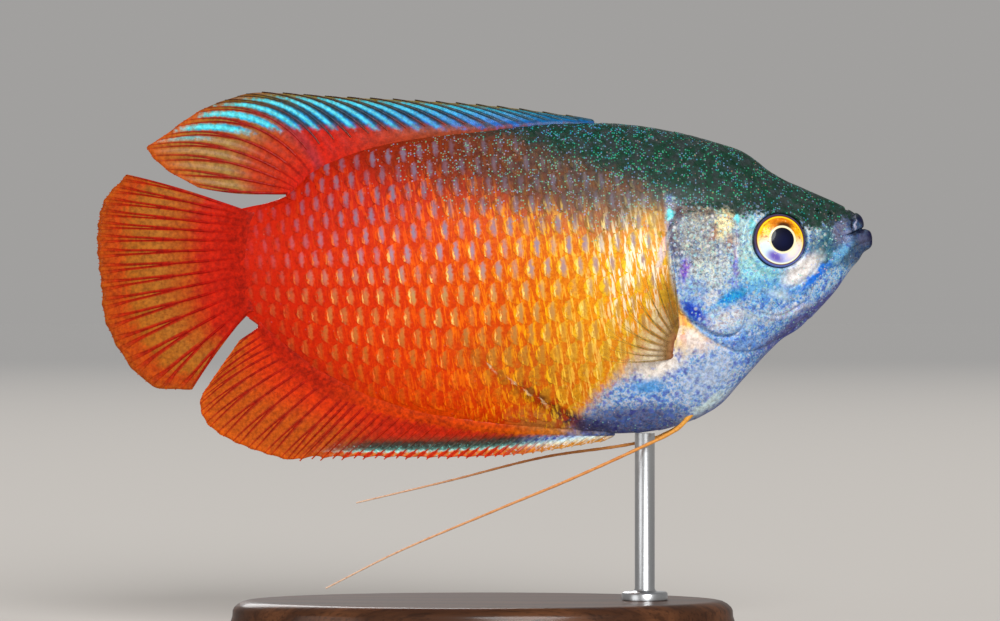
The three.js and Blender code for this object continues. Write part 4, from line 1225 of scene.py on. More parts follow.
# %% Rows of scales
ROWS = range(-13, 13)  # counted from the middle row, from the belly up
ROW_ENDS = (-23.0, 31.4)
ROW_STEPS = 600
ROW_SHEAR = 0.16  # how much further back than half a step each lower row stands
PLATE_LENGTH = 0.92  # half a scale's length, as a share of the pitch
PLATE_WIDTH = 0.62  # half its width, as a share of the rows' spacing
COAT_RISE = 0.095  # height of the free edge over the skin
HEAD_FLAT = ([17, 22], [1.0, 0.55])  # scales lie flatter on the head: places, and shares of the rise
FEEL_ALONG = 0.4  # how far off a scale the run of its row is measured, in millimetres
FEEL_UP = 0.3  # the same towards the next rows, as a share of their spacing
FIRST_SEED = 7
SIZES_FROM_TO = (0.95, 1.05)  # each scale's own share of the usual size
TONES_FROM_TO = (0.55, 1.0)


def row_of_scales(row, side, columns, draws):
    """What the wrap tree needs to know of each scale of one row, or nothing where the row is empty."""
    x = np.interp(*columns)
    turns, there = turn_at(x, row)
    keep = there & keeps_scale(x, body_point(x, turns)[:, 2])
    x, turns = x[keep], turns[keep]
    if len(x) == 0:
        return None
    pitch = np.interp(x, PITCH[:, 0], PITCH[:, 1])
    spacing = np.interp(x, SPACING[:, 0], SPACING[:, 1])
    behind, before = turn_at(x - FEEL_ALONG, row)[0], turn_at(x + FEEL_ALONG, row)[0]
    above, below = turn_at(x, row + FEEL_UP)[0], turn_at(x, row - FEEL_UP)[0]
    back_share = (ring_share(x - FEEL_ALONG) - ring_share(x + FEEL_ALONG)) / (2 * FEEL_ALONG)
    back_turn = (behind - before) / (2 * FEEL_ALONG)
    up_turn = (above - below) / (2 * FEEL_UP * spacing)
    if side > 0:
        turns, back_turn = 1 - turns, -back_turn
    none = 0 * x
    sizes = [PLATE_LENGTH * pitch, PLATE_WIDTH * spacing, COAT_RISE * np.interp(x, *HEAD_FLAT)]
    return {
        "spot": to_unwrap(ring_share(x), turns),
        "back": np.stack([back_share, back_turn / SHEET_SPAN, none], -1),
        "down": np.stack([none, -up_turn / SHEET_SPAN, none], -1),
        "size": np.stack(sizes, -1) * draws.uniform(*SIZES_FROM_TO, (len(x), 3)),
        "tone": draws.uniform(*TONES_FROM_TO, len(x)),
    }


def scale_roots(side):
    """One point for each scale of a side."""
    draws = np.random.default_rng(FIRST_SEED + side)
    ends = np.linspace(*ROW_ENDS, ROW_STEPS)
    steps = np.diff(ends) / np.interp(ends[:-1], PITCH[:, 0], PITCH[:, 1])
    count_at = np.concatenate([[0], np.cumsum(steps)])
    found = []
    for row in ROWS:
        offset = 0.5 * (row % 2) + ROW_SHEAR * row
        numbers = np.arange(math.ceil(offset), math.floor(count_at[-1] + offset) + 1) - offset
        found.append(row_of_scales(row, side, (numbers, count_at, ends), draws))
    rows = [row for row in found if row]
    mesh = bpy.data.meshes.new("scale_roots")
    mesh.from_pydata(np.concatenate([row["spot"] for row in rows]).tolist(), [], [])
    for name in rows[0]:
        kind = "FLOAT" if name == "tone" else "FLOAT_VECTOR"
        add_attribute(mesh, name, kind, np.concatenate([row[name] for row in rows]))
    return mesh


print("scales for", len(ROWS), "rows, each", 2 * PLATE_LENGTH, "of its pitch long")

# %% The wrap tree
PATCH_SHARE = 0.42  # how much of its own cell a scale takes on the baking map

wrap_tree, pen, source, sink = new_geometry_tree(
    "scale_wrap",
    [("Plate", "Object"), ("Sheet", "Object"), ("Finish", "Material")],
)
shape = pen.add("GeometryNodeObjectInfo", {"Object": source["Plate"]}).outputs["Geometry"]
ground = pen.add("GeometryNodeObjectInfo", {"Object": source["Sheet"]}).outputs["Geometry"]
copies = pen.add("GeometryNodeInstanceOnPoints", {"Points": source["Geometry"], "Instance": shape})
coat = pen.add("GeometryNodeRealizeInstances", {"Geometry": copies.outputs["Instances"]}).outputs["Geometry"]
local = named(pen, "plate")
sized = pen.parts(pen.vector("MULTIPLY", local, named(pen, "size")))
rearward = pen.longer(named(pen, "back"), sized["X"])
downward = pen.longer(named(pen, "down"), sized["Y"])
shift = pen.vector("ADD", rearward, downward)
spot = pen.vector("ADD", named(pen, "spot"), shift)
sampled = []
for value in (pen.add("GeometryNodeInputPosition").outputs[0], named(pen, "out")):
    values = {"Mesh": ground, "Value": value, "UV Map": named(pen, "unwrap"), "Sample UV": spot}
    node = pen.add("GeometryNodeSampleUVSurface", values, data_type="FLOAT_VECTOR")
    sampled.append(node.outputs["Value"])
raised = pen.vector("ADD", sampled[0], pen.longer(sampled[1], pen.times(sized["Z"], MM)))
coat = pen.add("GeometryNodeSetPosition", {"Geometry": coat, "Position": raised}).outputs["Geometry"]
coat = store_map(pen, coat, "scale_place", local)
coat = store_map(pen, coat, "OFBake", pen.vector("ADD", named(pen, "spot"), pen.longer(shift, PATCH_SHARE)))
coat = pen.add("GeometryNodeRealizeInstances", {"Geometry": coat}).outputs["Geometry"]
coat = pen.add("GeometryNodeSetMaterial", {"Geometry": coat, "Material": source["Finish"]})
pen.feed(sink["Geometry"], coat.outputs["Geometry"])
print("wrap tree:", len(wrap_tree.nodes), "nodes")

# %% Both coats
coats = {}
for side_name, side in SIDES.items():
    roots = scale_roots(side)
    coat = grow(wrap_tree, roots, "scales_" + side_name, Plate=plate, Sheet=sheet, Finish=scale_finish)
    coats[side_name] = coat
    print("scales on the", side_name, "side:", len(coat.data.polygons) // len(plate.data.polygons))
for helper in (plate, sheet):
    bpy.data.objects.remove(helper)

# %% [markdown]
# ## Fins
# A fin is a web of skin thinner than paper, held open by rays. The spiny front part has one stout spine
# for each notch of the margin. The soft rays behind it split in two on their way out, those of the tail
# twice. A few guides along each fin say where its rays stand and end, and all other rays lie between.

# %% Where the rays run
FIN_ROOT = 1.2  # how far a web is sunk in the flesh
SWAY_FROM = -18.0  # behind this place the fins sway to one side
SWAY_OVER = 21.0
# notch: how deep the web dips behind a spine. sway: how far the fin's end stands aside. between: 1 where
# one more spine stands midway between each two. bow: how far a ray bends, as a share of its length.
FINS = {
    "dorsal": {
        "rays": 24, "spines": 15, "notch": 0.06, "sway": -0.8, "inward": (0.0, -1.0), "foot": "back",
        "guides": [  # ray, foot x, tip x, tip z, bow
            (0, 10.9, 8.3, 12.5, 0), (3, 7, 1.4, 13.4, 0.02), (7, 0.9, -6.8, 14, 0.05),
            (11, -6.8, -15.8, 14.4, 0.09), (14, -12.4, -22.1, 14.8, 0.12), (15, -14, -24.3, 14.5, 0.15),
            (17, -16.5, -28.5, 12.9, 0.18), (19, -18, -32.5, 10.1, 0.14), (20, -18.5, -33.8, 9.2, 0.11),
            (21, -18.9, -33.1, 8.1, 0.08), (22, -19.2, -31.5, 6.8, 0.03), (23, -19.5, -29, 5.5, -0.03),
        ],
    },
    "anal": {
        "rays": 28, "spines": 16, "between": 1, "notch": 0.05, "sway": 0.5, "inward": (0.0, 1.0),
        "foot": "belly",
        "guides": [  # ray, foot x, tip x, tip z, bow
            (0, 12.9, 11.7, -20.2, 0), (4, 6.6, 3.9, -21.5, 0), (8, 0, -3.6, -21.9, 0),
            (12, -6.9, -12, -21.95, 0), (15, -12.1, -18.3, -22.1, 0), (16, -13.3, -20, -22, 0.01),
            (19, -16.6, -24.8, -20.4, 0.03), (21, -18.4, -27.6, -18.6, 0.04), (23, -19.9, -28.4, -16.3, 0.04),
            (25, -21.1, -27.2, -14.1, 0.03), (27, -22.3, -24.6, -10.4, 0),
        ],
    },
    "tail": {
        "rays": 15, "spines": 0, "notch": 0, "sway": 1.3, "inward": (1.0, 0.0), "foot": "stalk",
        "guides": [  # ray, foot z, tip x, tip z, bow
            (0, 2.7, -36.1, 6.4, 0.02), (2, 1.9, -38.2, 4, 0.01), (5, -0.1, -38.92, 0.2, 0),
            (8, -2.6, -38.5, -4.6, 0), (10, -4.2, -38, -8.4, 0), (12, -5.8, -35.5, -12.8, 0.01),
            (13, -6.5, -32.9, -14.9, 0.02), (14, -7.1, -29.8, -15.1, 0.02),
        ],
    },
    "pectoral": {
        "rays": 10, "spines": 0, "notch": 0, "sway": 0.0, "inward": (0.5, -0.3), "foot": "flank",
        "guides": [  # ray, foot x, foot z, tip x, tip z, bow
            (0, 19.4, -9, 18.4, -1.6, 0.02), (3, 19.2, -9.8, 15.7, -3.2, -0.06),
            (5, 19.1, -10.4, 13.5, -5.7, -0.1), (7, 19, -11, 11.9, -8.8, -0.1),
            (9, 18.9, -11.7, 11.7, -11.7, -0.06),
        ],
    },
}
TAIL_FOOT_X = -23.4
PECTORAL_SINK = 0.35
PECTORAL_FLARE = 0.62


def ray_ends(fin, place):
    """Foot and tip in side view, and bow, of the ray at a place; it may lie between two rays."""
    guides = np.array(fin["guides"], float)
    within = np.clip(place, 0, fin["rays"] - 1)
    mirrored = 2 * within - place
    columns = range(1, guides.shape[1])
    *ends, tip_x, tip_z, bow = [
        2 * along(guides, column, within) - along(guides, column, mirrored) for column in columns
    ]
    if fin["foot"] == "back":
        foot_x, foot_z = ends[0], body_point(ends[0], 0.5)[..., 2]
    elif fin["foot"] == "belly":
        foot_x, foot_z = ends[0], body_point(ends[0], 0.0)[..., 2]
    elif fin["foot"] == "stalk":
        foot_x, foot_z = TAIL_FOOT_X + 0 * ends[0], ends[0]
    else:
        foot_x, foot_z = ends
    return np.stack([foot_x, foot_z], -1), np.stack([tip_x, tip_z], -1), bow


def fin_point(fin, place, share, side=0, ripple=0.0):
    """A point in a fin's middle sheet: share 0 is at the flesh, 1 at the tip, and below 0 it is sunk."""
    place, share = np.broadcast_arrays(np.asarray(place, float), np.asarray(share, float))
    foot, tip, bow = ray_ends(fin, place)
    ahead = tip - foot
    across = np.stack([ahead[..., 1], -ahead[..., 0]], -1)
    out = np.maximum(share, 0)[..., None]
    spot = foot + ahead * out + across * bow[..., None] * 4 * out * (1 - out)
    spot = spot + np.maximum(-share, 0)[..., None] * np.array(fin["inward"]) * FIN_ROOT
    x, z = spot[..., 0], spot[..., 1]
    if fin["foot"] == "flank":
        distance = np.linalg.norm(spot - foot, axis=-1) * np.where(share < 0, -1, 1)
        y = side * (flank(foot[..., 0], foot[..., 1]) - PECTORAL_SINK + PECTORAL_FLARE * distance)
    else:
        y = fin["sway"] * (np.maximum(SWAY_FROM - x, 0) / SWAY_OVER) ** 2
    y = y + ripple * out[..., 0] * np.sin(2 * math.pi * place) * np.maximum(1 - share**6, 0)
    return np.stack([x, y, z], -1)


print("fin rays in all:", sum(fin["rays"] for fin in FINS.values()) + FINS["pectoral"]["rays"])

# %% [markdown]
# ## The webs
# Each web is a thin closed sheet: a grid of points on both faces, sewn together round the edge. Its
# margin dips between the rays, deeply behind each spine, and hardly at all between the soft rays.

# %% Webs
WEB_COLUMNS = 8  # steps from one ray to the next
WEB_ROWS = 34
WEB_BESIDE = 0.2  # how far the web goes past the first and last ray
WEB_HALF = [(-1, 0.3), (0, 0.3), (0.12, 0.16), (0.3, 0.07), (1, 0.03)]  # half thickness on the way out
STALK_HALF = [(-1, 0.3), (0, 0.46), (0.09, 0.36), (0.18, 0.17), (0.3, 0.07), (1, 0.03)]
WEB_RIPPLE = 0.07
WEB_SHARE = 0.99  # of a ray's length, where the web stands highest
SOFT_DIP = 0.012
SPINY_FADE = (0.4, 1.4)  # how many rays before the last spine the deep notches end and are full
SUNK_ROWS = [-1, -0.4]
END_THINNING = 0.4  # at the first and last edge
PECTORAL_THINNING = 0.6  # of webs and rays


def web_reach(fin, place):
    """How far out the web goes, as a share of the ray's length."""
    gap = np.mod(place, 1.0)
    spiny = 0 * place
    if fin["spines"]:
        spiny = smooth_step(fin["spines"] - place, *SPINY_FADE)
    dip = (4 * gap * (1 - gap)) ** 0.8
    behind_spine = fin["notch"] * (0.4 + dip * (1.25 - 0.5 * gap))
    return WEB_SHARE - spiny * behind_spine - (1 - spiny) * SOFT_DIP * dip


def sheet_faces(columns, rows):
    """The faces of a closed sheet: both sides of a grid, and the edge between them."""
    count = columns * rows
    faces = []
    for a in [i * rows + j for i in range(columns - 1) for j in range(rows - 1)]:
        b = a + rows
        faces.append((a, b, b + 1, a + 1))
        faces.append((count + a, count + a + 1, count + b + 1, count + b))
    edge = grid_edge(columns, rows)
    for here, ahead in zip(edge, edge[1:] + edge[:1]):
        faces.append((ahead, here, count + here, count + ahead))
    return faces


def fin_web(name, fin, side=0):
    """The web of a fin as a closed thin sheet."""
    last = fin["rays"] - 1
    places = np.linspace(-WEB_BESIDE, last + WEB_BESIDE, last * WEB_COLUMNS + 3)
    shares = np.concatenate([SUNK_ROWS, np.linspace(0, 1, WEB_ROWS - 1)])
    u, v = np.meshgrid(places, shares, indexing="ij")
    v = np.where(v > 0, v * web_reach(fin, u), v)
    middle = fin_point(fin, u, v, side, ripple=WEB_RIPPLE)
    table = STALK_HALF if fin["foot"] == "stalk" else WEB_HALF
    at_end = (u == places[0]) | (u == places[-1])
    half = np.interp(v, *np.transpose(table)) * np.where(at_end, END_THINNING, 1)
    if fin["foot"] == "flank":
        half = half * PECTORAL_THINNING
    both = np.stack([middle, middle])
    both[..., 1] += np.stack([half, -half])
    mesh = bpy.data.meshes.new(name)
    mesh.from_pydata(to_metres(both).reshape(-1, 3).tolist(), [], sheet_faces(len(places), len(shares)))
    add_map(mesh, "fin_map", np.tile(np.stack([u / fin["rays"], v], -1).reshape(-1, 2), (2, 1)))
    shape = bmesh.new()
    shape.from_mesh(mesh)
    bpy.data.meshes.remove(mesh)
    bmesh.ops.recalc_face_normals(shape, faces=shape.faces)
    return into_scene(shape, name)


print("a web has", WEB_COLUMNS, "columns for each ray and", WEB_ROWS + 1, "rows")

# %% [markdown]
# ## The rays
# A ray is a thin rod that tapers to a hair. Each is first a line of points, with its girth stored on
# them. A geometry tree then turns every line into a tube. The two feelers are made by the same tree.

# %% Rays and feelers as tubes
TUBE_SIDES = 6
LINE_STEPS = 26  # for a whole ray
FEWEST_STEPS = 6
SPINE_GIRTH = (0.22, 0.06)  # at the flesh and at the tip
SOFT_GIRTH = (0.2, 0.05)
PRONG_GIRTH = (0.156, 0.05)
SUNK_FROM = -0.8  # all places along a ray are shares of its length, 0 at the flesh
FORK_AT = 0.42
SECOND_FORK_AT = 0.68
FORK_LAP = 0.02  # how far a prong begins before the stem ends
PRONG_TIP = 0.985
SHORTER_BETWEEN = 0.03  # of the spines that stand between two others
PRONG_ASIDE = 0.2  # in rays
TAIL_PRONG_ASIDE = 0.22
TWIGS_ASIDE = (0.24, 0.11)  # their middle, and each of the two from there
RAY_MARGIN = 0.12  # how far a line may lie past the first or last ray

tube_tree, pen, source, sink = new_geometry_tree("tubes", [("Sides", "Int"), ("Finish", "Material")])
lines = pen.add("GeometryNodeMeshToCurve", {"Mesh": source["Geometry"]}).outputs["Curve"]
ring = pen.add("GeometryNodeCurvePrimitiveCircle", {"Resolution": source["Sides"], "Radius": MM})
tubes = pen.add("GeometryNodeCurveToMesh", {
    "Curve": lines,
    "Profile Curve": ring.outputs["Curve"],
    "Scale": named(pen, "girth", "FLOAT"),
    "Fill Caps": True,
}).outputs["Mesh"]
tubes = store_map(pen, tubes, "fin_map", named(pen, "place"))
tubes = pen.add("GeometryNodeSetShadeSmooth", {"Geometry": tubes}).outputs["Geometry"]
tubes = pen.add("GeometryNodeRealizeInstances", {"Geometry": tubes}).outputs["Geometry"]
tubes = pen.add("GeometryNodeSetMaterial", {"Geometry": tubes, "Material": source["Finish"]})
pen.feed(sink["Geometry"], tubes.outputs["Geometry"])


def line_mesh(name, lines):
    """A mesh of separate lines. Each line is its points in millimetres, its girths and its map places."""
    mesh = bpy.data.meshes.new(name)
    points, girths, places = [np.concatenate(parts) for parts in zip(*lines)]
    edges, start = [], 0
    for line in lines:
        edges += [(start + k, start + k + 1) for k in range(len(line[0]) - 1)]
        start += len(line[0])
    mesh.from_pydata(to_metres(points).tolist(), edges, [])
    add_attribute(mesh, "girth", "FLOAT", girths)
    add_attribute(mesh, "place", "FLOAT_VECTOR", places)
    add_attribute(mesh, "ray", "FLOAT", np.ones(len(points)))
    return mesh


def ray_line(fin, side, ray, aside, ends, girth):
    """One line of a ray, which moves aside on its way from one end to the other."""
    share = np.linspace(*ends, max(int(LINE_STEPS * (ends[1] - ends[0])), FEWEST_STEPS))
    beside = aside[0] + (aside[1] - aside[0]) * smooth_step(share, ends[0], 1)
    place = np.clip(ray + beside, -RAY_MARGIN, fin["rays"] - 1 + RAY_MARGIN)
    points = fin_point(fin, place, share, side, ripple=WEB_RIPPLE)
    thickness = np.interp(share, [0, 1], girth) * (PECTORAL_THINNING if fin["foot"] == "flank" else 1)
    return points, thickness, np.stack([place / fin["rays"], share, 0 * share], -1)


def ray_parts(fin, ray):
    """What a ray is made of: for each line its ray, its way aside, its two ends and its girth."""
    if ray < fin["spines"]:
        return [
            (ray + 0.5 * step, (0, 0), (SUNK_FROM, 1 - SHORTER_BETWEEN * step), SPINE_GIRTH)
            for step in range(1 + fin.get("between", 0))
        ]
    fork, second_fork = FORK_AT - FORK_LAP, SECOND_FORK_AT - FORK_LAP
    parts = [(ray, (0, 0), (SUNK_FROM, FORK_AT), SOFT_GIRTH)]
    for way in (-1, 1):
        if fin["foot"] != "stalk":
            parts.append((ray, (0, PRONG_ASIDE * way), (fork, PRONG_TIP), PRONG_GIRTH))
            continue
        parts.append((ray, (0, TAIL_PRONG_ASIDE * way), (fork, SECOND_FORK_AT), PRONG_GIRTH))
        there = TAIL_PRONG_ASIDE * way * smooth_step(second_fork, fork, 1)
        for twig in (-1, 1):
            aside = TWIGS_ASIDE[0] * way + TWIGS_ASIDE[1] * twig
            parts.append((ray, (there, aside), (second_fork, PRONG_TIP), PRONG_GIRTH))
    return parts


def ray_lines(fin, side=0):
    """The lines of all rays of a fin, forks included."""
    parts = [part for ray in range(fin["rays"]) for part in ray_parts(fin, ray)]
    return [ray_line(fin, side, *part) for part in parts]


print("tube tree:", len(tube_tree.nodes), "nodes, for tubes of", TUBE_SIDES, "sides")

# %% [markdown]
# ## The colours of the fins
# The fin map tells on which ray a point lies and how far out it is, so stripes along the rays need no
# drawing. One function reads the map, and each fin then has its own short recipe. The back fin carries
# electric blue stripes between its spines. The tail and the anal fin are orange webs with dark red rays,
# and the pectoral fins are almost clear.

# %% How a fin is painted
ROOT_FADE = (0.24, 0.02)  # where anal fin and tail fin take the body's own markings
JOINT_WAVES = 260.0  # the fine joints of a ray
FORK_BLUR = 0.12


def fin_places(pen, fin):
    """Where a point lies. near is 1 on a ray and 0 halfway to the next; out is 1 at the ray's tip."""
    x, _, z, place = side_view(pen)
    on_map = pen.parts(pen.map_place("fin_map"))
    ray = pen.times(on_map["X"], fin["rays"])
    near = pen.times(pen.math("ABSOLUTE", pen.minus(pen.math("FRACT", ray), 0.5)), 2.0)
    return SimpleNamespace(ray=ray, near=near, out=on_map["Y"], x=x, z=z, place=place)


def fin_finish(name, fin, paint_web, paint_ray, web_alpha=1.0, cover=None):
    """The material of one fin: its web's paint, and its rays' paint where the ray attribute says so."""
    material, pen, shader = new_material(name)
    at = fin_places(pen, fin)
    is_ray = pen.attribute("ray")
    web = paint_web(pen, at)
    if fin["foot"] in ("belly", "stalk"):
        web = pen.blend(pen.ease(at.out, *ROOT_FADE), web, use_group(pen, markings)["Colour"])
    paint = pen.blend(is_ray, web, paint_ray(pen, at))
    mottle = pen.ease(pen.noise(at.place, 2.4, 4.0, 0.65), 0.25, 0.75)
    tint = pen.blend(mottle, colour("b8aea4"), colour("ffffff"))
    pen.feed(shader.inputs["Base Color"], pen.blend(1.0, paint, tint, "MULTIPLY"))
    joints = pen.times(pen.math("SINE", pen.times(at.out, JOINT_WAVES)), is_ray)
    pen.bump(shader, pen.sloped(joints, 0.12, pen.noise(at.place, 6.0, 3.0)), strength=0.3, depth=0.04)
    if web_alpha < 1:
        rays = pen.times(is_ray, pen.sloped(pen.ease(at.out, 1.0, 0.2), 0.4, 0.12))
        covered = pen.largest(rays, pen.ease(at.out, 0.2, 0.04))
        if cover:
            covered = pen.largest(covered, cover(pen, at))
        pen.feed(shader.inputs["Alpha"], pen.sloped(covered, 1 - web_alpha, web_alpha))
    finish_shader(shader, roughness=0.36, coat=0.08)
    return material


def ray_colour_and_shadow_lines(pen, at):
    """A mask of soft lines in the web beside each ray, which part where the ray forks: the rays' own dark
    red, partly a painted shadow of the rays.
    """
    stem = pen.times(pen.ease(at.near, 0.62, 0.92), pen.ease(at.out, FORK_AT + FORK_BLUR, FORK_AT))
    from_prong = pen.math("ABSOLUTE", pen.minus(at.near, pen.sloped(at.out, -0.42, 1.0)))
    prong = pen.times(pen.ease(from_prong, 0.24, 0.06), pen.ease(at.out, FORK_AT, FORK_AT + FORK_BLUR))
    return pen.times(pen.largest(stem, prong), pen.ease(at.out, 1.02, 0.8))


print("soft rays fork at", FORK_AT, "of their length")

# %% The back fin
FLESH_EDGE = [(-34, 9.4), (-28, 10.3), (-22, 11.0), (-16, 11.3), (0, 11.3), (12, 11.5)]
DORSAL_WEB = [(0.0, "34445c"), (0.5, "2c5068"), (0.75, "6a6434"), (0.9, "8a742c"), (1.0, "6f4a1c")]
DORSAL_SHEEN = [(0.0, "0a5cd0"), (0.3, "0a94e4"), (0.55, "18bcea"), (0.85, "4cc8cc")]
DORSAL_SOFT = [(0.0, "d01c04"), (0.3, "c03c14"), (0.5, "a98040"), (0.8, "b3742c"), (1.0, "d0560a")]
DORSAL_SPINES = [
    (0.0, "b02408"), (0.16, "7a2c20"), (0.35, "24405c"), (0.6, "4a4a40"), (0.85, "4a2c18"), (1.0, "2a120a"),
]
FIRST_SPINES = [(0.0, "34586c"), (0.5, "2c5a72"), (0.8, "54503a"), (1.0, "2a140c")]


def dorsal_web(pen, at):
    """Blue stripes between the spines, over a dusky web; a red fleshy base, and an orange hind end."""
    uneven = pen.waver(at.place, 2.2)
    reach = pen.sloped(uneven, 0.4, at.out)
    above = pen.sloped(uneven, 1.4, pen.minus(at.z, pen.profile(at.x, FLESH_EDGE)))
    front = pen.times(pen.ease(at.ray, 8.0, 2.5), 0.6)

    bright = pen.times(pen.ease(at.near, 0.4, 0.1), pen.ease(at.ray, 7.0, 14.0), 0.75)
    sheen = pen.over(pen.ramp(reach, DORSAL_SHEEN), (front, "186c8c"), (bright, "4ff0ff"))
    stripe = pen.largest(pen.ease(pen.sloped(uneven, 0.5, at.near), 0.66, 0.3), front)
    inward = pen.sloped(pen.ease(at.ray, 14.5, 17.0), -0.14, reach)
    over_flesh = pen.times(pen.ease(above, -0.5, 0.4), pen.ease(at.ray, 20.6, 19.0))
    stripe = pen.times(stripe, pen.ease(inward, 0.84, 0.62), over_flesh)

    # dark red lines beside the rays: their own colour, partly a painted shadow of the rays
    soft = pen.over(pen.ramp(at.out, DORSAL_SOFT), (pen.times(ray_colour_and_shadow_lines(pen, at), 0.85), "a81404"))
    dusky = pen.times(pen.ease(at.ray, 12.5, 14.5), pen.ease(at.out, 0.8, 0.9), 0.7)
    web = pen.over(pen.ramp(reach, DORSAL_WEB), (dusky, "8c5420"))
    web = pen.blend(pen.ease(at.ray, 16.2, 17.6), web, soft)
    flesh = pen.blend(pen.ease(at.x, -16.0, -4.0), colour("cc1c04"), colour("a0401c"))
    flesh = pen.blend(pen.ease(at.ray, 17.6, 16.2), web, flesh)
    web = pen.blend(pen.ease(above, 0.5, -0.5), web, flesh)
    return pen.blend(stripe, web, sheen)


def spines_and_rays(pen, at, place, first, spines, soft):
    """Colours along the first spines, the other spines and the soft rays. Each is its range and stops."""
    paint = pen.blend(pen.ease(at.ray, *first[0]), pen.ramp(place, spines), pen.ramp(place, first[1]))
    return pen.blend(pen.ease(at.ray, *soft[0]), paint, pen.ramp(at.out, soft[1]))


def dorsal_ray(pen, at):
    first = ((9.0, 5.0), FIRST_SPINES)
    soft = ((15.5, 17.5), [(0.0, "b01a08"), (0.7, "9c1408"), (1.0, "c04a14")])
    return spines_and_rays(pen, at, at.out, first, DORSAL_SPINES, soft)


print("the back fin's stripes have", len(DORSAL_SHEEN), "blues")

# %% The anal fin
ANAL_MARGIN = [(-25, -21.6), (-14, -21.9), (-4, -21.8), (3, -21.4), (9, -20.7), (13, -20.0)]
# The colours of the strip run from the flesh (0) down to the margin (1).
STRIP = [
    (0.0, "c02406"), (0.16, "8c3418"), (0.3, "4a3830"), (0.52, "34443e"), (0.66, "5c8a84"), (0.74, "b8f0e8"),
    (0.81, "e08a3c"), (1.0, "d85a10"),
]
STRIP_FRONT = [
    (0.0, "6a5a98"), (0.35, "7a84d8"), (0.52, "4a60d0"), (0.66, "c6ecff"), (0.78, "f2f0d0"), (0.9, "d08a2a"),
]
ANAL_LOBE = [(0.0, "de2c04"), (0.3, "d83806"), (0.55, "c4520e"), (0.88, "c45610"), (1.0, "e0600a")]
ANAL_SPINES = [(0.0, "c42606"), (0.3, "5a3428"), (0.6, "507068"), (0.72, "c4380e"), (1.0, "d0300a")]
ANAL_FIRST = [(0.0, "6a6ab0"), (0.5, "8fb0e8"), (0.75, "dff4f0"), (1.0, "d8983c")]


def strip_depth(pen, at, push=None):
    """How deep a point lies in the dark strip of the anal fin: 0 above it and 1 at its margin."""
    down = pen.minus(pen.profile(at.x, ANAL_MARGIN), at.z)
    if push:
        down = pen.sloped(push, 0.5, down)
    return pen.ease(down, -2.6, 0.2)


def anal_web(pen, at):
    """A dark strip with a pale blue line and an orange margin, and an orange hind lobe with red lines."""
    flecks = pen.noise(at.place, 3.8, 3.0, 0.7)
    depth = strip_depth(pen, at, pen.waver(at.place, 2.6))
    lit = pen.times(pen.ease(flecks, 0.55, 0.66), pen.ease(depth, 0.3, 0.5))
    strip = pen.over(pen.ramp(depth, STRIP), (lit, "6fc4bc"))
    front = pen.over(pen.ramp(depth, STRIP_FRONT), (pen.ease(flecks, 0.54, 0.66), "f4f6ff"))
    strip = pen.blend(pen.ease(at.ray, 6.0, 2.0), strip, front)
    # dark red lines beside the rays: their own colour, partly a painted shadow of the rays
    lobe = pen.over(pen.ramp(at.out, ANAL_LOBE), (pen.times(ray_colour_and_shadow_lines(pen, at), 0.7), "9c1404"))
    near_spine = pen.ease(pen.math("ABSOLUTE", pen.sloped(at.near, 2.0, -1.0)), 0.2, 0.6)
    tips = pen.times(near_spine, pen.ease(depth, 0.68, 0.8), pen.ease(at.ray, 2.0, 6.0))
    return pen.blend(pen.ease(at.ray, 12.0, 15.0), pen.over(strip, (tips, "d42408")), lobe)


def anal_ray(pen, at):
    first = ((6.0, 2.0), ANAL_FIRST)
    soft = ((11.5, 14.5), [(0.0, "b41c08"), (0.8, "9c1a0a"), (1.0, "c23c10")])
    return spines_and_rays(pen, at, strip_depth(pen, at), first, ANAL_SPINES, soft)


print("the anal fin's strip has", len(STRIP), "colours")

# %% The tail fin, the clear fins, and all finishes
TAIL_WEB = [
    (0.0, "d01804"), (0.3, "cc2204"), (0.44, "b85210"), (0.6, "b46a20"), (0.76, "b46416"), (0.86, "c44606"),
    (0.95, "bc4c08"), (1.0, "b6580e"),
]
TAIL_RAYS = [(0.0, "c41404"), (0.6, "a41204"), (0.85, "b02606"), (1.0, "b4480c")]
PECTORAL_WEB = [(0.0, "94543c"), (0.12, "b89058"), (0.3, "fff0c8"), (0.6, "e8c860"), (1.0, "c8a030")]
PECTORAL_RAYS = [(0.0, "a8644c"), (0.2, "b8965a"), (0.5, "bc9c48"), (0.8, "c8a850"), (1.0, "d8b84c")]


def tail_web(pen, at):
    web = pen.ramp(pen.sloped(pen.waver(at.place, 1.2), 0.16, at.out), TAIL_WEB)
    # dark red lines beside the rays: their own colour, partly a painted shadow of the rays
    return pen.over(web, (pen.times(ray_colour_and_shadow_lines(pen, at), 0.9), "b81404"))


def tail_ray(pen, at):
    return pen.ramp(at.out, TAIL_RAYS)


def pectoral_web(pen, at):
    return pen.over(pen.ramp(at.out, PECTORAL_WEB), (pen.ease(at.ray, 3.0, 1.5), "a8803a"))


def pectoral_ray(pen, at):
    return pen.ramp(at.out, PECTORAL_RAYS)


def pectoral_cover(pen, at):
    """Where the clear web still shows: along the first rays, and between the rays near the flesh."""
    bundle = pen.times(pen.ease(at.ray, 2.4, 0.8), pen.ease(at.out, 1.0, 0.5), 0.3)
    cream = pen.times(pen.ease(at.out, 0.62, 0.3), pen.ease(at.near, 0.75, 0.35), 0.5)
    return pen.largest(bundle, cream)


FIN_FINISHES = {
    "dorsal": fin_finish("dorsal_skin", FINS["dorsal"], dorsal_web, dorsal_ray, 0.93),
    "anal": fin_finish("anal_skin", FINS["anal"], anal_web, anal_ray),
    "tail": fin_finish("tail_skin", FINS["tail"], tail_web, tail_ray, 0.93),
    "pectoral": fin_finish(
        "pectoral_skin", FINS["pectoral"], pectoral_web, pectoral_ray, 0.03, pectoral_cover
    ),
}
print("fin finishes:", ", ".join(sorted(FIN_FINISHES)))

# %% [markdown]
# ## Make the fins
# Each fin is its web and its rays.

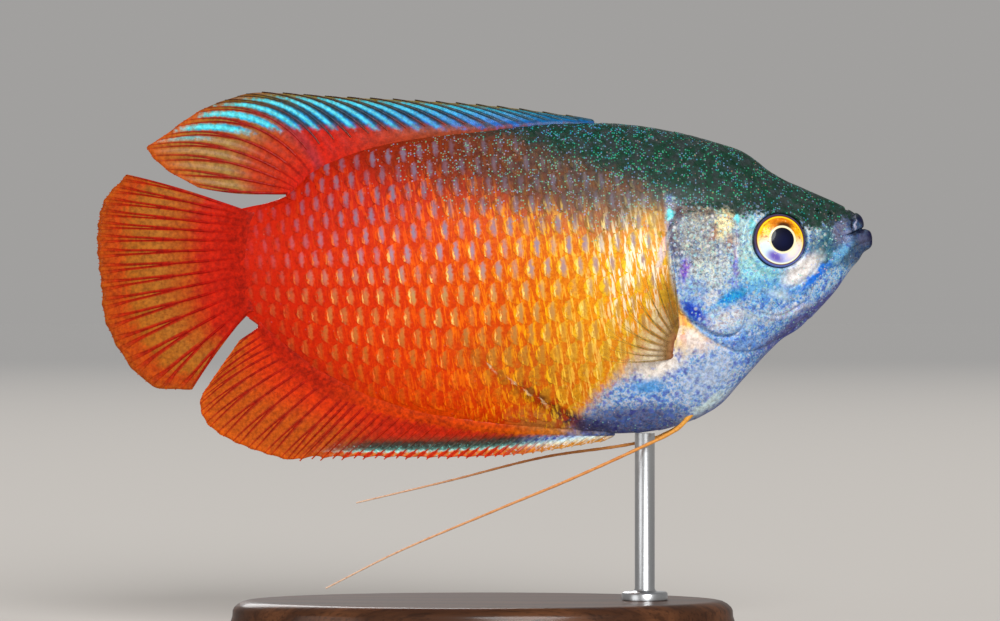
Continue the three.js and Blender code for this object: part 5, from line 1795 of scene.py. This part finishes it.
# %% Fins in place
def make_fin(label, node, side=0):
    """Web and rays of one fin, riding on the body."""
    fin, finish = FINS[label], FIN_FINISHES[label]
    web = fin_web(node + "_web", fin, side)
    web.data.materials.append(finish)
    lines = line_mesh(node + "_lines", ray_lines(fin, side))
    rays = grow(tube_tree, lines, node + "_rays", Sides=TUBE_SIDES, Finish=finish)
    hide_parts(node)
    for piece in (web, rays):
        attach(piece, "root")
    print(node, "web", len(web.data.polygons), "faces, rays", len(rays.data.polygons), "faces")


make_fin("dorsal", "dorsal_fin")
make_fin("anal", "anal_fin")
make_fin("tail", "tail_fin")
for side_name, side in SIDES.items():
    make_fin("pectoral", "pectoral_fin_" + side_name, side)

# %% [markdown]
# ## Feelers
# The pelvic fins of a gourami are single long rays with which it feels its way. Each is one line of
# points through a few places measured in the photograph, made into a tube by the same tree as the rays.

# %% Feelers
FEELERS = {
    "right": [
        (20.9, 1, -17.3), (19.3, 1.5, -18.9), (15.7, 2.4, -20.7), (8.3, 3.3, -24), (1.7, 4.1, -26.7),
        (-8.3, 5.3, -30.9), (-15.5, 6, -34.5),
    ],
    "left": [
        (20.9, 1, -17.3), (19.3, 1.5, -18.9), (15.7, 2.4, -20.3), (6.2, 3.4, -21.8), (-3.3, 4.6, -24.2),
        (-12.8, 5.6, -26.5),
    ],
}
FEELER_GIRTH = ([0, 0.12, 1], [0.26, 0.17, 0.08])  # places along a feeler, and its girth there
FEELER_JOINTS = {"height": 0.06, "waves": 150}
FEELER_SIDES = 12
FEELER_STEPS = 160
FEELER_PAINT = [(0.0, "d89a3c"), (0.2, "d08a48"), (0.6, "c98e5c"), (1.0, "d2b49a")]


def feeler_line(places, side):
    """A smooth line through the places, with a girth that tapers and swells a little at soft joints."""
    marks = np.array(places, float) * np.array([1, side, 1])
    steps = np.linalg.norm(np.diff(marks, axis=0), axis=1)
    lengths = np.concatenate([[0], np.cumsum(steps)])
    table = np.column_stack([lengths, marks])
    share = np.linspace(0, 1, FEELER_STEPS)
    points = np.stack([along(table, column, share * lengths[-1]) for column in (1, 2, 3)], -1)
    joints = 1 + FEELER_JOINTS["height"] * np.sin(share * FEELER_JOINTS["waves"])
    return points, np.interp(share, *FEELER_GIRTH) * joints, np.stack([0 * share, share, 0 * share], -1)


def feeler_material():
    material, pen, shader = new_material("feeler_skin")
    paint = pen.ramp(pen.parts(pen.map_place("fin_map"))["Y"], FEELER_PAINT)
    fine = pen.noise(side_view(pen)[3], 4.0, 3.0, 0.6)
    paint = pen.over(paint, (pen.times(pen.ease(fine, 0.45, 0.7), 0.5), "9c4a20"))
    pen.feed(shader.inputs["Base Color"], paint)
    pen.bump(shader, fine, strength=0.3, depth=0.04)
    finish_shader(shader)
    return material


feeler_finish = feeler_material()
for side_name, side in SIDES.items():
    node = "pelvic_feeler_" + side_name
    start = line_mesh(node + "_line", [feeler_line(FEELERS[side_name], side)])
    feeler = grow(tube_tree, start, node + "_tube", Sides=FEELER_SIDES, Finish=feeler_finish)
    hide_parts(node)
    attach(feeler, "root")
    print(node, "faces:", len(feeler.data.polygons))

# %% [markdown]
# ## Eyes
# A fish's eye is a shallow clear dome over a ring of bright iris. The dome is a lathed profile: a curve
# turned round the line that points straight out of the head. Its map holds the distance from the middle
# of the pupil, so that the iris can be painted in rings.

# %% The lathe, and the eye's dome
EYE_SEGMENTS = 96
EYE_MAP_SPAN = 6.0  # millimetres across the whole eye map
DOME_MORE = 0.06  # how much wider and higher than the solid eye the dome is
DOME_LESS_DEEP = 0.5
DOME_BACK = 0.35  # how far its hidden back bends forward, as a share of its depth
DOME_RIM = (-0.3, -0.12)
DOME_STEPS = 22


def lathe(profile, segments, squash=1.0):
    """A closed turned form about +Z. The profile is radius and height, from the axis back to the axis."""
    turned = bmesh.new()
    turns = [2 * math.pi * k / segments for k in range(segments)]
    rings = []
    for radius, height in profile:
        spots = [(radius * math.cos(turn), squash * radius * math.sin(turn), height) for turn in turns]
        rings.append([turned.verts.new(spot) for spot in (spots if radius else spots[:1])])
    for low, high in zip(rings, rings[1:]):
        for k in range(segments):
            ahead = (k + 1) % segments
            if len(low) == 1:
                turned.faces.new((low[0], high[ahead], high[k]))
            elif len(high) == 1:
                turned.faces.new((low[k], low[ahead], high[0]))
            else:
                turned.faces.new((low[k], low[ahead], high[ahead], high[k]))
    bmesh.ops.recalc_face_normals(turned, faces=turned.faces)
    return turned


def dome_profile():
    """Radius and height of the eye, from the middle of its back round the rim to the middle of its front."""
    radius, bulge = EYE["radius"] + DOME_MORE, EYE["bulge"] + DOME_MORE
    depth = EYE["depth"] - DOME_LESS_DEEP
    back = [(radius * share, -depth + DOME_BACK * depth * share**2) for share in (0, 0.3, 0.6, 0.85)]
    rim = [(radius, height) for height in DOME_RIM]
    front = [(radius * share, bulge * (1 - share**2.2)) for share in np.linspace(0.99, 0.05, DOME_STEPS)]
    return back + rim + front + [(0, bulge)]


def eye_dome(side_name, side):
    """One eye, set on the flank and facing straight out of it."""
    turned = lathe(dome_profile(), EYE_SEGMENTS)
    unwrap = turned.loops.layers.uv.new("eye_map")
    for face in turned.faces:
        for loop in face.loops:
            spot = loop.vert.co
            loop[unwrap].uv = (0.5 + spot.x / EYE_MAP_SPAN, 0.5 + spot.y / EYE_MAP_SPAN)
    out = flank_normal(EYE["x"], EYE["z"], side)
    ahead = (Vector((1, 0, 0)) - out * out.x).normalized()
    up = out.cross(ahead)
    up = up if up.z > 0 else -up
    middle = Vector((EYE["x"], side * float(flank(EYE["x"], EYE["z"])), EYE["z"] + SWIM_HEIGHT))
    for vert in turned.verts:
        spot = vert.co.copy()
        vert.co = (middle + ahead * spot.x + up * spot.y + out * spot.z) * MM
    bmesh.ops.recalc_face_normals(turned, faces=turned.faces)
    return into_scene(turned, "eyeball_" + side_name)


print("an eye is", EYE["radius"] * 2, "mm across")

# %% The eye's colours
PUPIL_OFF = (0.13, 0.04, 0)  # the pupil's middle, from the eye's, forward and up
GOLD_LINE = (1.46, 1.34)  # where rings begin, from the middle of the pupil or of the eye
PUPIL_EDGE = (1.24, 1.16)
OUTER_RING = (2.2, 2.3)
DARK_RIM = (2.34, 2.44)
VIOLET_RIM = (2.44, 2.54)


def eye_material():
    """Rings of colour: a blue-black pupil in a bright yellow line, a golden iris and a dark rim."""
    material, pen, shader = new_material("gourami_eye")
    own = pen.vector("SUBTRACT", pen.map_place("eye_map"), (0.5, 0.5, 0))
    local = pen.vector("MULTIPLY", own, (EYE_MAP_SPAN, EYE_MAP_SPAN, 0))
    parts = pen.parts(local)
    spot, up = (parts["X"], parts["Y"]), parts["Y"]
    distance = pen.vector("LENGTH", local)
    from_pupil = pen.vector("LENGTH", pen.vector("SUBTRACT", local, PUPIL_OFF))
    angle = pen.math("ARCTAN2", up, parts["X"])
    round_place = {"X": pen.times(angle, 2.2), "Y": pen.times(distance, 1.3)}
    grain = pen.noise(pen.add("ShaderNodeCombineXYZ", round_place).outputs[0], 2.2, 4.0, 0.65)

    iris = pen.over(
        pen.blend(pen.ease(up, -1.3, 0.1), colour("b8bcec"), colour("f2dcb0")),
        (pen.ease(up, -0.3, 0.7), "f0b010"),
        (pen.patch(spot, -0.9, 1.3, 0.9, 0.6, 30, 0.7), "ffdc14"),
        (pen.ease(pen.minus(distance, up), 0.9, 0.1), "d87a10"),
        (pen.patch(spot, -1.45, -0.9, 0.7, 0.7, -30, 0.7), "d8f0fa"),
        (pen.patch(spot, -0.6, -1.65, 0.8, 0.4, -30, 0.7), "6a5ab4"),
        (pen.patch(spot, 1.3, -1.1, 0.8, 0.5, 50, 0.7), "fae8d8"),
        (pen.times(pen.ease(grain, 0.5, 0.66), pen.ease(up, -1.2, 0.4)), "b8600c"),
        (pen.times(pen.ease(grain, 0.42, 0.28), 0.7), "fff0b0"),
        (pen.patch(spot, 0.35, 1.45, 0.75, 0.36, -6, 0.5), "4a2408"),
    )
    outer = pen.blend(pen.ease(up, -1.6, 0.6), colour("eef4d8"), colour("ffd21e"))
    iris = pen.blend(pen.ease(distance, *OUTER_RING), iris, outer)
    iris = pen.over(iris, (pen.ease(distance, *DARK_RIM), "5a1c0c"))
    violet = pen.blend(pen.ease(up, -0.5, -1.6), colour("453a58"), colour("5a6cb0"))
    iris = pen.over(
        pen.blend(pen.ease(distance, *VIOLET_RIM), iris, violet),
        (pen.ease(from_pupil, *GOLD_LINE), "fbeec0"),
        (pen.ease(from_pupil, *PUPIL_EDGE), "06071c"),
        (pen.patch(spot, 0.1, -0.1, 0.8, 0.7, 0, 0.8), "0a0f30"),
    )
    pen.feed(shader.inputs["Base Color"], iris)
    finish_shader(shader, roughness=0.3, coat=0.18)
    shader.inputs["Coat Roughness"].default_value = 0.03
    return material


eye_finish = eye_material()
for side_name, side in SIDES.items():
    eye = eye_dome(side_name, side)
    eye.data.materials.append(eye_finish)
    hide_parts("eye_" + side_name)
    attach(eye, "root")
    print("eyeball_" + side_name, "faces:", len(eye.data.polygons))

# %% [markdown]
# ## Give the body to the frame
# The skin stands for five solids at once, so no seam shows where head, gill covers, trunk and tail meet.
# The scales lie on it and replace nothing.

# %% Body pieces in the frame
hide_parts("head", "gill_cover_left", "gill_cover_right", "trunk", "tail_stalk")
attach(skin, "root")
for coat in coats.values():
    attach(coat, "root")
print("skin replaces five solids")

# %% [markdown]
# ## The display stand
# An oval of dark walnut with a moulded edge, and one brushed steel rod up to the belly. Both are turned
# forms with more sides than the solids have. Grain and brushing are procedural.

# %% Stand
BASE = {"length": 52.0, "width": 30.0}
BASE_PROFILE = [  # radius along the length, and height
    (0, 0), (25.6, 0), (25.9, 0.1), (26, 0.3), (26, 0.9), (25.93, 1.1), (25.55, 1.42), (25.2, 1.9),
    (25.05, 2.4), (25, 3), (24.85, 3.3), (24.5, 3.62), (24.05, 3.87), (23.6, 3.97), (23.2, 4), (23.1, 4),
    (0, 4),
]
ROD = {"x": 16.2, "radius": 1.0, "foot_radius": 2.3, "low": 4.05, "below_belly": 0.1}
STAND_SEGMENTS = 144
ROD_SEGMENTS = 64
SHARP_FROM = math.radians(40)  # edges of the stand that bend more than this stay sharp
# How often wood and steel vary along X, Y and Z, in waves over a metre
RINGS = 1500.0
WANDER = (20.0, 60.0, 60.0)
STREAKS = (60.0, 1600.0, 1200.0)
PORES = (400.0, 5200.0, 3000.0)
BRUSHING = (2500.0, 2500.0, 30000.0)


def walnut_material():
    """Straight grain along the base, with dark streaks and fine pores."""
    material, pen, shader = new_material("walnut")
    place = pen.add("ShaderNodeTexCoord").outputs["Object"]
    wander = pen.noise(pen.vector("MULTIPLY", place, WANDER), 1.0, 3.0)
    rings = pen.math("SINE", pen.sloped(pen.parts(place)["Y"], RINGS, pen.times(wander, 26.0)))
    streaks = pen.noise(pen.vector("MULTIPLY", place, STREAKS), 1.0, 3.0, 0.6)
    pores = pen.noise(pen.vector("MULTIPLY", place, PORES), 1.0, 3.0, 0.6)
    wood = pen.over(
        pen.blend(pen.ease(rings, -1.0, 1.0), colour("422717"), colour("5a3721")),
        (pen.times(pen.ease(streaks, 0.4, 0.7), 0.7), "2e1a0f"),
        (pen.times(pen.ease(pores, 0.52, 0.66), 0.5), "1f110a"),
    )
    pen.feed(shader.inputs["Base Color"], wood)
    pen.bump(shader, pores, strength=0.2, depth=0.05)
    finish_shader(shader, roughness=0.38, coat=0.25)
    return material


def steel_material():
    """Steel brushed round the rod."""
    material, pen, shader = new_material("brushed_steel")
    place = pen.add("ShaderNodeTexCoord").outputs["Object"]
    brushing = pen.noise(pen.vector("MULTIPLY", place, BRUSHING), 1.0, 2.0)
    pen.feed(shader.inputs["Base Color"], pen.blend(brushing, colour("a9abad"), colour("c4c6c8")))
    pen.feed(shader.inputs["Roughness"], pen.sloped(brushing, 0.15, 0.24))
    shader.inputs["Metallic"].default_value = 1.0
    return material


def turned_piece(name, turned, place, finish, node):
    """A turned piece of the stand, in millimetres from the table, standing for one solid."""
    for vert in turned.verts:
        vert.co = (vert.co + Vector(place)) * MM
    for edge in turned.edges:
        edge.smooth = len(edge.link_faces) == 2 and edge.calc_face_angle() < SHARP_FROM
    piece = into_scene(turned, name)
    piece.data.materials.append(finish)
    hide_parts(node)
    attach(piece, "root")
    print(name, "faces:", len(piece.data.polygons))


rod_top = SWIM_HEIGHT + float(body_point(ROD["x"] + ROD["radius"], 0.0)[2])
foot, rod_radius = ROD["foot_radius"], ROD["radius"]
rod_height = rod_top - ROD["low"] - ROD["below_belly"]
rod_profile = [
    (0, 0), (foot, 0), (foot, 0.55), (foot - 0.08, 0.72), (foot - 0.25, 0.8), (rod_radius + 0.35, 0.8),
    (rod_radius + 0.1, 0.9), (rod_radius, 1.1), (rod_radius, rod_height), (0, rod_height),
]
oval = lathe(BASE_PROFILE, STAND_SEGMENTS, BASE["width"] / BASE["length"])
turned_piece("stand_plinth", oval, (0, 0, 0), walnut_material(), "stand_base")
post = lathe(rod_profile, ROD_SEGMENTS)
turned_piece("stand_post", post, (ROD["x"], 0, ROD["low"]), steel_material(), "stand_rod")
print("rod reaches", round(rod_top, 2), "mm above the table")

# %% [markdown]
# ## Camera, floor and light
# The photograph was taken square to the fish's right side with a long lens, so the camera stands half a
# metre off and sees 100 mm across. The model stands on a wide pale floor under soft studio lights: a
# large key light above in front, a fill from the left and a rim light behind. The floor is painted
# lighter round the stand, a painted pool of light.

# %% Camera
AWAY = 0.5  # metres in front of the fish
AIM = (1.725, 32.95)  # along and up, in millimetres: the middle of the photograph
LENS = 180
SENSOR = 36

scene = bpy.context.scene
camera_data = bpy.data.cameras.new("camera")
camera_data.sensor_width = SENSOR
camera_data.lens = LENS
camera_data.clip_start = 0.01
camera = link(bpy.data.objects.new("camera", camera_data))
camera.location = (AIM[0] * MM, -AWAY, AIM[1] * MM)
camera.rotation_euler = (math.radians(90), 0, 0)
scene.camera = camera
scene.view_settings.view_transform = "Standard"
print("camera sees", AWAY * SENSOR / LENS, "m across")

# %% Floor, world and lights
FLOOR_RADIUS = 12.0
FLOOR_SINK = 0.0001  # so that floor and base don't share a plane
WORLD_COLOUR = colour("dcdad8")
WORLD_STRENGTH = 0.5
# Painted pool of light: the floor is painted lighter near the stand, and fades to FAR_FLOOR further off
FLOOR_PAINTED_POOL = colour("c6c2bd")
FAR_FLOOR = colour("a1a09f")  # as bright as the world under these lamps, so that no horizon shows
FLOOR_FADE = (0.05, 3.0)

floor_shape = bmesh.new()
bmesh.ops.create_circle(floor_shape, cap_ends=True, segments=96, radius=FLOOR_RADIUS)
floor_mesh = bpy.data.meshes.new("floor")
floor_shape.to_mesh(floor_mesh)
floor_shape.free()
floor = link(floor_mesh)
floor.location.z = -FLOOR_SINK
floor_finish, pen, shader = new_material("pale_floor")
shader.inputs["Roughness"].default_value = 1.0
shader.inputs["Specular IOR Level"].default_value = 0.0
from_middle = pen.vector("LENGTH", pen.add("ShaderNodeTexCoord").outputs["Object"])
pen.feed(shader.inputs["Base Color"], pen.blend(pen.ease(from_middle, *FLOOR_FADE), FLOOR_PAINTED_POOL, FAR_FLOOR))
floor_mesh.materials.append(floor_finish)

world = bpy.data.worlds.new("studio")
world.use_nodes = True
world.node_tree.nodes["Background"].inputs["Color"].default_value = WORLD_COLOUR
world.node_tree.nodes["Background"].inputs["Strength"].default_value = WORLD_STRENGTH
scene.world = world


def far_lamp(name, towards, width, strength):
    """A wide, soft lamp so far off that it lights fish and floor evenly. Its width is in degrees."""
    lamp = bpy.data.lights.new(name, "SUN")
    lamp.angle = math.radians(width)
    lamp.energy = strength
    light = link(bpy.data.objects.new(name, lamp))
    light.location = towards
    light.rotation_euler = Vector(towards).to_track_quat("Z", "Y").to_euler()
    print(name, "light, width", width, "degrees")


far_lamp("key", (0.12, -0.6, 0.26), 26, 2.9)
far_lamp("fill", (-0.5, -0.4, 0.04), 34, 0.6)
far_lamp("rim", (-0.15, 0.5, 0.36), 30, 1.5)
